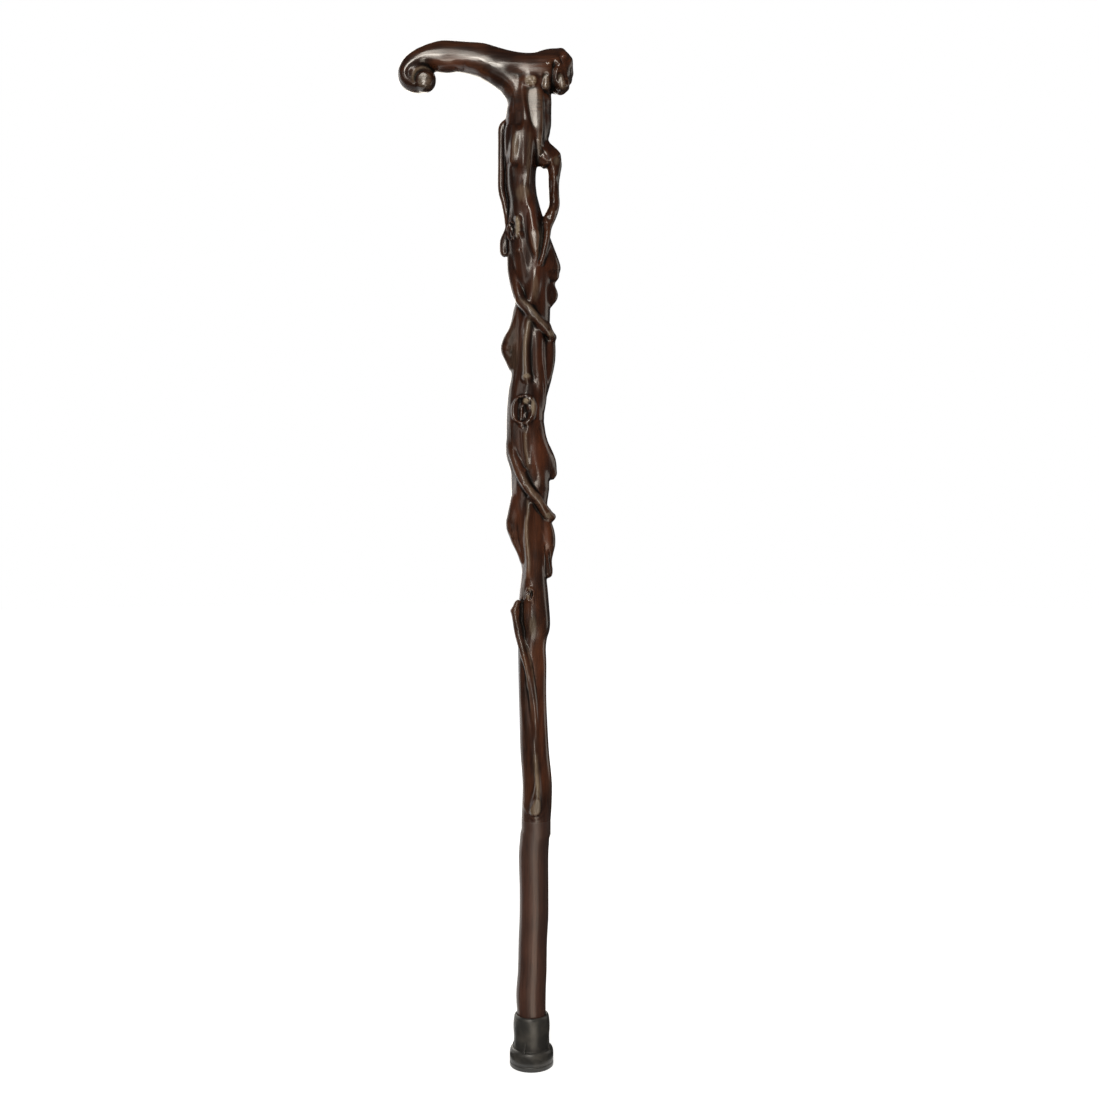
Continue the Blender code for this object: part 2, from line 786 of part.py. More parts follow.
def make_lower_shaft(material):
    bm = bmesh.new()
    radius = SHAFT_DIAMETER / 2
    seat_top = FERRULE_HEIGHT
    stations = [(0.0, seat_top, radius)]
    for share, drift, factor in TURNED_STATIONS:
        stations.append((drift * JOINT_X, seat_top + share * (LOWER_TOP_Z - seat_top), factor * radius))
    stations.append((JOINT_X, LOWER_TOP_Z, JOINT_DIAMETER / 2))
    rings = [
        (0.0, SHAFT_END_Z, radius - SHAFT_END_CHAMFER),
        (0.0, SHAFT_END_Z + SHAFT_END_CHAMFER, radius),
        *spline(stations, STEPS_PER_SPAN),
    ]
    made = []
    for x, z, ring_radius in rings:
        made.append(add_level_ring(bm, Vector((x, 0.0, z)), ring_radius, SHAFT_SEGMENTS))
    for first, second in zip(made, made[1:]):
        join_rings(bm, first, second)
    bm.faces.new(made[0][::-1])
    bm.faces.new(made[-1])
    shaft = finish_mesh("lower_shaft", bm, material)
    cut(shaft, stud_bore("shaft", JOINT_X, SHAFT_STUD_DIAMETER, LOWER_TOP_Z, SHAFT_STUD_LENGTH, -1))
    return shaft


def spin_profile(bm, profile, segments):
    """Turns a closed profile of (radius, height) points round the Z axis."""
    rings = []
    for radius, z in profile:
        if radius == 0.0:
            rings.append([bm.verts.new((0.0, 0.0, z))])
        else:
            rings.append(add_level_ring(bm, Vector((0.0, 0.0, z)), radius, segments))
    for first, second in zip(rings, rings[1:] + rings[:1]):
        if len(first) == 1 and len(second) == 1:
            continue
        for index in range(segments):
            after = (index + 1) % segments
            corners = [first[index % len(first)], first[after % len(first)]]
            corners += [second[after % len(second)], second[index % len(second)]]
            bm.faces.new(list(dict.fromkeys(corners)))


def make_stud(name, middle, diameter, length, material):
    """Steel dowel with chamfered ends, standing across a joint."""
    bm = bmesh.new()
    radius = diameter / 2
    half = length / 2
    profile = [
        (0.0, -half),
        (radius - STUD_CHAMFER, -half),
        (radius, -half + STUD_CHAMFER),
        (radius, half - STUD_CHAMFER),
        (radius - STUD_CHAMFER, half),
        (0.0, half),
    ]
    spin_profile(bm, profile, STUD_SEGMENTS)
    stud = finish_mesh(name, bm, material)
    stud.location = middle
    return stud


def ferrule_profile():
    """Half section of the ferrule, from the middle of its underside round to the floor of its bore."""
    base = FERRULE_BASE_DIAMETER / 2
    collar = FERRULE_COLLAR_DIAMETER / 2
    mouth = FERRULE_MOUTH_DIAMETER / 2
    edge = FERRULE_EDGE_RADIUS
    profile = [(0.0, 0.0)]
    for index in range(TREAD_GROOVES):
        inner = TREAD_PITCH * (index + 1)
        outer = inner + TREAD_GROOVE_WIDTH
        profile += [(inner, 0.0), (inner, TREAD_DEPTH), (outer, TREAD_DEPTH), (outer, 0.0)]
    for degrees in (0, 30, 60, 90):
        angle = math.radians(degrees)
        profile.append((base - edge + edge * math.sin(angle), edge - edge * math.cos(angle)))
    for inset, drop in SHOULDER_ROUNDING:
        profile.append((base - inset * MM, FERRULE_SHOULDER_Z - drop * MM))
    profile += [
        (collar, FERRULE_SHOULDER_Z),
        (collar - COLLAR_WAIST, FERRULE_SHOULDER_Z + COLLAR_WAIST_HEIGHT),
        (collar, (FERRULE_SHOULDER_Z + FERRULE_HEIGHT) / 2),
    ]
    for inset, drop in MOUTH_ROUNDING:
        profile.append((mouth - inset * MM, FERRULE_HEIGHT - drop * MM))
    profile += [
        (FERRULE_BORE_RADIUS + MOUTH_CHAMFER, FERRULE_HEIGHT),
        (FERRULE_BORE_RADIUS, FERRULE_HEIGHT - MOUTH_CHAMFER),
        (FERRULE_BORE_RADIUS, FERRULE_FLOOR),
        (0.0, FERRULE_FLOOR),
    ]
    return profile


def add_rib(bm, bearing):
    """Thin web between the collar and the shoulder, sunk into both."""
    collar = FERRULE_COLLAR_DIAMETER / 2
    base = FERRULE_BASE_DIAMETER / 2
    outline = [
        (collar - RIB_SUNK, FERRULE_SHOULDER_Z - 2 * RIB_SUNK),
        (base - RIB_SUNK, FERRULE_SHOULDER_Z - 2 * RIB_SUNK),
        (base - RIB_SUNK, FERRULE_SHOULDER_Z),
        (collar - RIB_SUNK, FERRULE_SHOULDER_Z + RIB_HEIGHT),
    ]
    angle = math.radians(bearing)
    out = Vector((math.sin(angle), -math.cos(angle), 0.0))
    side = Vector((-out.y, out.x, 0.0)) * (RIB_THICKNESS / 2)
    up = Vector((0.0, 0.0, 1.0))
    left = [bm.verts.new(out * radius + up * z - side) for radius, z in outline]
    right = [bm.verts.new(out * radius + up * z + side) for radius, z in outline]
    bm.faces.new(left)
    bm.faces.new(right[::-1])
    join_rings(bm, left, right)


def make_ferrule(material):
    bm = bmesh.new()
    spin_profile(bm, ferrule_profile(), FERRULE_SEGMENTS)
    ferrule = finish_mesh("ferrule", bm, material)
    for index in range(RIB_COUNT):
        bm = bmesh.new()
        add_rib(bm, RIB_FIRST_BEARING + index * 360.0 / RIB_COUNT)
        cut(ferrule, make_cutter(f"ferrule_rib_{index + 1}", bm), "UNION")
    return ferrule


def make_washer(material):
    bm = bmesh.new()
    outer = WASHER_DIAMETER / 2
    inner = WASHER_HOLE_DIAMETER / 2
    profile = [
        (inner, 0.0),
        (outer, 0.0),
        (outer, WASHER_THICKNESS),
        (inner, WASHER_THICKNESS),
    ]
    spin_profile(bm, profile, FERRULE_SEGMENTS)
    washer = finish_mesh("ferrule_washer", bm, material)
    washer.location = (0.0, 0.0, WASHER_Z)
    return washer


def parent_pieces(name, pieces):
    """Empty at the origin that carries the pieces of one body."""
    empty = bpy.data.objects.new(name, None)
    bpy.context.scene.collection.objects.link(empty)
    for piece in pieces:
        piece.parent = empty
    return empty


def main():
    clear_scene()
    wood = make_material("lacquered_wood", (0.075, 0.022, 0.010), 0.28, 0.0)
    rubber = make_material("black_rubber", (0.035, 0.035, 0.033), 0.62, 0.0)
    steel = make_material("zinc_steel", (0.55, 0.55, 0.56), 0.35, 1.0)
    handle = make_handle(wood)
    upper_shaft = make_upper_shaft(wood)
    lower_shaft = make_lower_shaft(wood)
    # Each stud stands half on either side of the gap between its two joint faces.
    neck = (NECK_X, 0.0, (CARVED_TOP_Z + HANDLE_BOTTOM_Z) / 2)
    joint = (JOINT_X, 0.0, (LOWER_TOP_Z + CARVED_BOTTOM_Z) / 2)
    handle_stud = make_stud("handle_stud", neck, HANDLE_STUD_DIAMETER, HANDLE_STUD_LENGTH, steel)
    shaft_stud = make_stud("shaft_stud", joint, SHAFT_STUD_DIAMETER, SHAFT_STUD_LENGTH, steel)
    parent_pieces("cane_body", [handle, upper_shaft, lower_shaft, handle_stud, shaft_stud])
    parent_pieces("ferrule_body", [make_ferrule(rubber), make_washer(steel)])


main()
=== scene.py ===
import math

import bmesh
import bpy
import numpy as np
from mathutils import Matrix, Vector
from mathutils.kdtree import KDTree


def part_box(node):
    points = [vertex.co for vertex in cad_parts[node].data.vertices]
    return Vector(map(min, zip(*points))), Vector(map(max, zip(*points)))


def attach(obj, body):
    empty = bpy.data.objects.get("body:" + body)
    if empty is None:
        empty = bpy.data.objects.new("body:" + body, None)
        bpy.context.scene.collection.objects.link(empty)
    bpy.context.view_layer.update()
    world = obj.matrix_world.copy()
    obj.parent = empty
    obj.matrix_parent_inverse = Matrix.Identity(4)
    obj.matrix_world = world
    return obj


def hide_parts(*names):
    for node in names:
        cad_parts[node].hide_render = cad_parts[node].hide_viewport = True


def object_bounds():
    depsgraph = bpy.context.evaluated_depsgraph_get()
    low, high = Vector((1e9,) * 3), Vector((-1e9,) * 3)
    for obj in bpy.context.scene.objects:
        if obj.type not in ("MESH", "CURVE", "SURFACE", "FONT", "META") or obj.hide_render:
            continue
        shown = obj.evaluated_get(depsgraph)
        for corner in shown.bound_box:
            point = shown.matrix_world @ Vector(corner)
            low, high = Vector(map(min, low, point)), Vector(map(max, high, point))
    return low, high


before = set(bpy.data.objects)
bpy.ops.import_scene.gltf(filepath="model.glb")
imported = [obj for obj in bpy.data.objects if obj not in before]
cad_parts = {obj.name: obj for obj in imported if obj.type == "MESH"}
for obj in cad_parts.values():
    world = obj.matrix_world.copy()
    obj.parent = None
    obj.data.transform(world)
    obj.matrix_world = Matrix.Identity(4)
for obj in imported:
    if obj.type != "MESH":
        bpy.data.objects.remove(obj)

# A walking cane: carved and lacquered wood in three pieces, and a rubber ferrule that pulls off.
# Shape lists are in millimetres. +Z is up, the grip points to -X and the front faces -Y.
mm = 0.001
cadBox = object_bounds()
scene = bpy.context.scene


def nodeBox(name):  # a CAD node's corners in millimetres
    low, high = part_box(name)
    return np.array(low) / mm, np.array(high) / mm


levels = {
    "shaftEnd": nodeBox("lower_shaft")[0][2],
    "ferruleTop": nodeBox("ferrule")[1][2],
    "lowerJoint": (nodeBox("lower_shaft")[1][2] + nodeBox("upper_shaft")[0][2]) / 2,
    "carvedFoot": nodeBox("upper_shaft")[0][2],
    "carvedHead": nodeBox("upper_shaft")[1][2],
    "upperJoint": (nodeBox("upper_shaft")[1][2] + nodeBox("handle")[0][2]) / 2,
    "handleFoot": nodeBox("handle")[0][2],
}

# Studio: camera, lamps, floor and the dark cloth that the lacquer reflects.

studio = {
    "cameraPlace": (0.0158, -1.0746, 0.4527),
    "lens": 40.0,
    "sensorWidth": 36.0,
    "farClip": 60.0,
    # each lamp: place, what it faces, width and height, radiance
    "lamps": {
        "high": ((-0.30, -1.20, 1.44), (-0.04, 0.0, 0.86), (0.34, 0.70), 11.5),
        "strip": ((-0.26, -1.36, 0.78), (0.0, 0.0, 0.55), (0.18, 1.10), 16.0),
        "left": ((-1.00, -1.05, 0.72), (0.0, 0.0, 0.55), (0.34, 1.05), 1.3),
        "leftBack": ((-1.32, 0.62, 0.62), (0.0, 0.0, 0.50), (0.46, 1.40), 1.4),
        "back": ((-0.50, 1.45, 1.10), (0.0, 0.0, 0.50), (0.80, 1.50), 3.2),
        "right": ((1.40, 0.45, 0.72), (0.0, 0.0, 0.45), (0.60, 1.30), 1.5),
    },
    "lampTint": (1.0, 0.935, 0.835),
    "roomLight": 0.16,
    "roomColour": (0.95, 0.97, 1.0),
    # the dark cloth round the set, seen only in reflections and open on the left and behind
    "clothRadius": 2.5,
    "clothHeight": 3.0,
    "clothSpan": (-116.0, 202.0),
    "clothGlow": (0.045, 0.042, 0.040),
    # where the cloth starts: distance and height
    "clothFoot": (0.022, 0.006),
    "ceilingShare": 1.1,
    "sheetSteps": 48,
    # glowing strips just above the floor in front, seen only in reflections, which put highlights
    # on the lower part: bearings, reach, glow
    "floorStrips": {
        "shaftStrip": ((-6.0, 30.0), (0.045, 1.0), (3.2, 2.85, 2.35)),
        "stubStrip": ((-9.0, 7.0), (1.0, 1.9), (8.5, 7.8, 6.8)),
    },
    "stripHeight": 0.009,
    "floorRadius": 9.0,
    "floorColour": (0.55, 0.55, 0.54),
    # what the camera sees of the floor: glow near the cane and away from it, and how far each is
    "floorGlow": ((0.80, 0.80, 0.80), (1.02, 1.02, 1.02)),
    "floorFade": (0.25, 1.3),
}


def addCamera():
    data = bpy.data.cameras.new("photoCamera")
    data.lens = studio["lens"]
    data.sensor_width = studio["sensorWidth"]
    data.clip_end = studio["farClip"]
    camera = bpy.data.objects.new("photoCamera", data)
    camera.location = studio["cameraPlace"]
    camera.rotation_euler = (math.radians(90.0), 0.0, 0.0)
    scene.collection.objects.link(camera)
    scene.camera = camera


def addLamp(name):
    place, target, (width, height), radiance = studio["lamps"][name]
    data = bpy.data.lights.new(name + "Lamp", "AREA")
    data.shape = "RECTANGLE"
    data.size = width
    data.size_y = height
    data.energy = radiance * math.pi * width * height
    data.color = studio["lampTint"]
    lamp = bpy.data.objects.new(name + "Lamp", data)
    lamp.location = place
    lamp.rotation_euler = (Vector(target) - Vector(place)).to_track_quat("-Z", "Y").to_euler()
    lamp.visible_camera = False
    scene.collection.objects.link(lamp)


# Shader expressions.


class Signal:  # one output in a material's nodes; arithmetic on it adds Math nodes
    def __init__(self, tree, socket=None):
        self.tree = tree
        self.socket = socket

    def node(self, kind, settings=None, inputs=None, output=0):
        made = self.tree.nodes.new(kind)
        for name, value in (settings or {}).items():
            setattr(made, name, value)
        for key, value in (inputs or {}).items():
            if isinstance(value, Signal):
                self.tree.links.new(value.socket, made.inputs[key])
            else:
                made.inputs[key].default_value = value
        return Signal(self.tree, made.outputs[output] if len(made.outputs) else None)

    def math(self, operation, *values):
        return self.node("ShaderNodeMath", {"operation": operation}, dict(enumerate(values)))

    def __add__(self, other):
        return self.math("ADD", self, other)

    def __sub__(self, other):
        return self.math("SUBTRACT", self, other)

    def __rsub__(self, other):
        return self.math("SUBTRACT", other, self)

    def __mul__(self, other):
        return self.math("MULTIPLY", self, other)

    __radd__ = __add__
    __rmul__ = __mul__

    def fade(self, low, high):  # 0 below low, 1 above high
        return self.node(
            "ShaderNodeMapRange",
            {"interpolation_type": "SMOOTHSTEP"},
            {"Value": self, "From Min": low, "From Max": high},
        )

    def blend(self, first, second, kind="MIX"):  # colours, with this signal as the factor
        return self.node(
            "ShaderNodeMix",
            {"data_type": "RGBA", "blend_type": kind},
            {0: self, 6: first, 7: second},
            output=2,
        )


def newMaterial(name):
    material = bpy.data.materials.new(name)
    material.use_nodes = True
    tree = material.node_tree
    tree.nodes.clear()
    return material, Signal(tree)


def finishMaterial(start, surface):
    start.node("ShaderNodeOutputMaterial", inputs={"Surface": surface})


def colour(red, green, blue):
    return (red, green, blue, 1.0)


def showWorld():
    world = bpy.data.worlds.new("whiteStudio")
    scene.world = world
    world.use_nodes = True
    tree = world.node_tree
    tree.nodes.clear()
    start = Signal(tree)
    seen = seenRays(start)
    white = start.node("ShaderNodeBackground", inputs={"Color": colour(1, 1, 1), "Strength": 1.0})
    room = start.node(
        "ShaderNodeBackground",
        inputs={"Color": colour(*studio["roomColour"]), "Strength": studio["roomLight"]},
    )
    mixed = start.node("ShaderNodeMixShader", inputs={0: seen, 1: room, 2: white})
    start.node("ShaderNodeOutputWorld", inputs={"Surface": mixed})


def seenRays(start):  # 1 for camera, glossy and transmission rays
    def ray(output):
        return start.node("ShaderNodeLightPath", output=output)

    total = ray("Is Camera Ray") + ray("Is Glossy Ray") + ray("Is Transmission Ray")
    return total.math("MINIMUM", total, 1.0)


def makeFloor():
    bm = bmesh.new()
    bmesh.ops.create_circle(bm, cap_ends=True, segments=96, radius=studio["floorRadius"])
    mesh = bpy.data.meshes.new("studioFloor")
    bm.to_mesh(mesh)
    bm.free()
    floor = bpy.data.objects.new("studioFloor", mesh)
    scene.collection.objects.link(floor)
    material, start = newMaterial("paleFloor")
    place = start.node("ShaderNodeTexCoord", output="Object")
    reach = start.node("ShaderNodeVectorMath", {"operation": "LENGTH"}, {0: place}, output="Value")
    near, far = studio["floorGlow"]
    glow = reach.fade(*studio["floorFade"]).blend(colour(*near), colour(*far))
    matt = start.node("ShaderNodeBsdfDiffuse", inputs={"Color": colour(*studio["floorColour"])})
    bright = start.node("ShaderNodeEmission", inputs={"Color": glow, "Strength": 1.0})
    both = start.node("ShaderNodeAddShader", inputs={0: matt, 1: bright})
    mixed = start.node("ShaderNodeMixShader", inputs={0: seenRays(start), 1: matt, 2: both})
    finishMaterial(start, mixed)
    mesh.materials.append(material)


def hangSheet(name, rows, span, glow, ceiling=None):
    # A curved sheet through rows of (distance, height) that only reflections show.
    bm = bmesh.new()
    steps = studio["sheetSteps"]
    rings = []
    for reach, height in rows:
        ring = []
        for index in range(steps + 1):
            bearing = math.radians(span[0] + (span[1] - span[0]) * index / steps)
            x, y = reach * math.sin(bearing), -reach * math.cos(bearing)
            ring.append(bm.verts.new((x, y, height)))
        rings.append(ring)
    for low, high in zip(rings, rings[1:]):
        for index in range(steps):
            bm.faces.new((low[index], low[index + 1], high[index + 1], high[index]))
    if ceiling:
        bmesh.ops.create_circle(
            bm,
            cap_ends=True,
            segments=steps,
            radius=rows[-1][0] * studio["ceilingShare"],
            matrix=Matrix.Translation((0.0, 0.0, ceiling)),
        )
    mesh = bpy.data.meshes.new(name)
    bm.to_mesh(mesh)
    bm.free()
    sheet = bpy.data.objects.new(name, mesh)
    scene.collection.objects.link(sheet)
    for ray in ("camera", "diffuse", "shadow", "transmission", "volume_scatter"):
        setattr(sheet, "visible_" + ray, False)
    material, start = newMaterial(name)
    finishMaterial(start, start.node("ShaderNodeEmission", inputs={"Color": colour(*glow)}))
    mesh.materials.append(material)


def hangSheets():
    radius, top = studio["clothRadius"], studio["clothHeight"]
    rows = (studio["clothFoot"], (radius, studio["clothFoot"][1]), (radius, top))
    hangSheet("darkCloth", rows, studio["clothSpan"], studio["clothGlow"], ceiling=top)
    level = studio["stripHeight"]
    for name, (span, (near, far), glow) in studio["floorStrips"].items():
        hangSheet(name, ((near, level), (far, level)), span, glow)


addCamera()
scene.view_settings.view_transform = "Standard"
showWorld()
for name in studio["lamps"]:
    addLamp(name)
makeFloor()
hangSheets()
print("studio ready")

# Shape lists of the wood.

turnedShaft = {
    "radius": 12.6,
    "endChamfer": 1.0,
    # how far it reaches up into the carved shaft
    "overlap": 6.0,
    # share of the height from the ferrule to the joint, drift of the centre, radius as a share
    "stations": (
        (0.10, -0.12, 1.045),
        (0.22, 0.15, 1.012),
        (0.37, 0.28, 1.005),
        (0.50, 0.52, 1.018),
        (0.62, 0.55, 1.012),
        (0.81, 0.46, 1.042),
        (0.90, 0.68, 1.036),
    ),
}

# The lower joint, and how far down the trunk's bar runs past it.
joint = {"x": 4.0, "radius": 12.9, "overlap": 14.0}
neck = {
    "x": -2.6,
    "halfWidth": 20.2,
    "halfDepth": 17.4,
    # x, height above the handle's foot, shares of the neck's half width and half depth
    "stations": (
        (-1.8, 9.0, 0.96, 1.0),
        (-1.4, 25.0, 0.93, 1.0),
        (0.0, 40.0, 0.90, 0.9),
    ),
    # how far the trunk and the neck run into each other
    "overlap": (8.0, 10.0),
    # the trunk's end in the neck: shift of x, share of the half width
    "trunkEnd": (0.2, 0.96),
}

# Height above the carved shaft's foot, centre x, half width, half depth.
trunkStations = (
    (31, 5.0, 12.8, 12.8),
    (63, 2.6, 12.4, 12.4),
    (100, 1.2, 12.0, 12.0),
    (135, 0.8, 12.2, 12.0),
    (150, 0.4, 12.0, 12.0),
    (159, 1.2, 12.2, 12.2),
    (167, 2.4, 13.4, 12.8),
    (177, 2.1, 14.1, 13.2),
    (201, 2.1, 12.2, 12.6),
    (219, 2.1, 10.7, 12.0),
    (237, 1.8, 11.9, 12.4),
    (261, -1.2, 14.6, 13.8),
    (285, -1.3, 15.2, 14.0),
    (304, -1.3, 15.4, 14.6),
    (321, -5.2, 17.6, 15.2),
    (336, -5.6, 16.8, 15.6),
    (357, -5.2, 16.6, 15.4),
    (375, -3.6, 16.6, 15.2),
    (393, -1.0, 16.4, 15.2),
    (421, -0.8, 16.7, 15.4),
    (447, 0.7, 15.6, 15.0),
    (459, 0.9, 15.7, 15.0),
    (480, 0.4, 18.2, 16.4),
    (501, -2.5, 19.0, 17.0),
    (522, -5.0, 16.8, 16.4),
    (541, -6.7, 13.4, 15.4),
    (555, -9.0, 13.0, 15.0),
    (572, -9.1, 13.4, 15.0),
    (589, -6.6, 16.5, 16.0),
    (601, -3.7, 19.4, 16.8),
)

# Roots that show on the front: how softly each melts into the trunk, how deep its crease is, and
# points of height, x, rise above the trunk and radius.
frontRoots = {
    "fingerLeft": (6.0, 0.0, (
        (613, -9, -6.5, 5.0), (601, -12, -1.6, 4.8), (588, -14, 0.2, 4.6), (576, -15.6, -0.8, 3.6),
    )),
    "fingerOuter": (6.0, 0.0, (
        (611, -18, -4.5, 3.4), (597, -19.6, -0.6, 3.2), (583, -20, -1.4, 2.8),
    )),
    "fingerMiddle": (6.0, 0.0, (
        (611, -4, -5.0, 2.8), (597, -5.4, -0.6, 2.6), (584, -6.2, 0.2, 2.6), (571, -7, -1.4, 2.2),
    )),
    "fingerLong": (6.0, 0.0, (
        (611, 1, -5.0, 2.6), (592, -1, 0.2, 2.4), (575, -2.2, 0.3, 2.2), (556, -3.3, -0.2, 2.0),
        (536, -3.5, -1.8, 1.8),
    )),
    "fingerRight": (5.0, 0.0, ((609, 5, -4.5, 2.6), (594, 6.8, 0.4, 2.4), (583, 8, -0.4, 2.0))),
    "tongue": (3.5, 0.3, (
        (554, -2, -6.5, 4.6), (544, -1, -3.4, 4.6), (526, 0.5, -1.6, 5.0), (510, 2.4, -0.4, 4.6),
        (498, 4.2, 0.0, 3.2), (491.5, 5, -0.6, 2.2), (486, 5.2, -2.4, 1.4),
    )),
    "upperVine": (2.5, 0.4, (
        (494, -17.3, -3.5, 5.0), (478.5, -15.3, -1.5, 5.4), (463, -12, 0.2, 5.2),
        (452, -8, 1.2, 4.6), (443, -0.5, 2.2, 4.4), (434.5, 8, 3.0, 4.2), (427.5, 14.3, 4.0, 3.9),
        (423, 19.2, 4.6, 3.4),
    )),
    "middleSwell": (4.0, 0.0, (
        (492, 4, -6.5, 4.4), (478.5, 3.6, -3.0, 4.4), (465, 2.6, -1.0, 4.6), (454, 0.5, -1.2, 4.2),
    )),
    "ridgeLeft": (5.0, 0.0, (
        (446, -1, -3.0, 2.2), (440, -2, -0.8, 2.3), (429, -4.0, 0.3, 2.4), (412.5, -4.8, 0.9, 2.3),
        (396, -4.4, 0.8, 2.2), (386, -4, 0.6, 2.4),
    )),
    "ridgeMiddle": (4.0, 0.0, (
        (444, 4, -5.5, 3.2), (433, 5, -3.0, 4.4), (417.5, 5.5, -2.0, 4.8), (398, 5.5, -2.0, 4.8),
        (378, 8.0, -2.4, 4.4), (362, 9.5, -4.4, 3.8),
    )),
    "thinRoot": (2.5, 0.0, (
        (336.5, -5, -0.8, 1.7), (325, -4.4, -0.3, 1.7), (311, -2.6, -0.6, 1.6),
    )),
    "rightSwell": (6.0, 0.0, (
        (343.5, 3, -5.6, 7.0), (329, 5, -3.2, 8.0), (314, 6, -2.6, 8.0), (301, 7, -3.8, 7.0),
        (286, 8, -8.0, 6.4),
    )),
    "lowerVine": (2.5, 0.4, (
        (338, -20, -7.0, 4.0), (324, -16.4, -3.2, 4.4), (312, -12.5, -1.0, 4.8),
        (300, -8, 0.6, 4.6), (289.5, -2.5, 1.6, 4.2), (279.5, 6, 2.4, 4.0), (270.5, 12.8, 3.2, 4.2),
        (265.6, 16.6, 4.2, 4.3),
    )),
    "longRidge": (4.0, 0.0, (
        (281.5, -1.5, -0.8, 2.2), (269.5, -2.6, 0.0, 2.2), (254.8, -4.2, 0.4, 2.2),
        (240, -3.4, 0.4, 2.0), (225, -2, -0.2, 1.9), (214, -2, -1.2, 1.8),
    )),
    "twigRoot": (2.0, 0.3, (
        (190.5, -12, 3.0, 3.2), (184.5, -13.8, 3.6, 4.2), (177, -12.6, 2.4, 4.2),
        (167, -11, 1.6, 4.0), (157, -9, 1.0, 3.6), (146, -6.6, 0.6, 3.4), (133.5, -3.4, 0.2, 3.2),
        (119.7, -0.8, 0.0, 3.2), (104, 1.6, -0.3, 3.0), (88, 3.2, -0.8, 2.6), (70, 4.6, -2.2, 2.0),
        (58, 5, -4.6, 1.6),
    )),
    "prunedStub": (4.0, 0.1, (
        (82, 2.8, -4.8, 1.4), (66, 3.2, -1.8, 1.6), (54, 3.9, -0.5, 1.9), (42, 4.8, 0.2, 2.1),
        (31, 5.4, 0.5, 2.5), (23, 5.0, 0.7, 3.6), (16, 4.2, 0.6, 4.3), (9.5, 3.6, -0.4, 4.0),
    )),
}

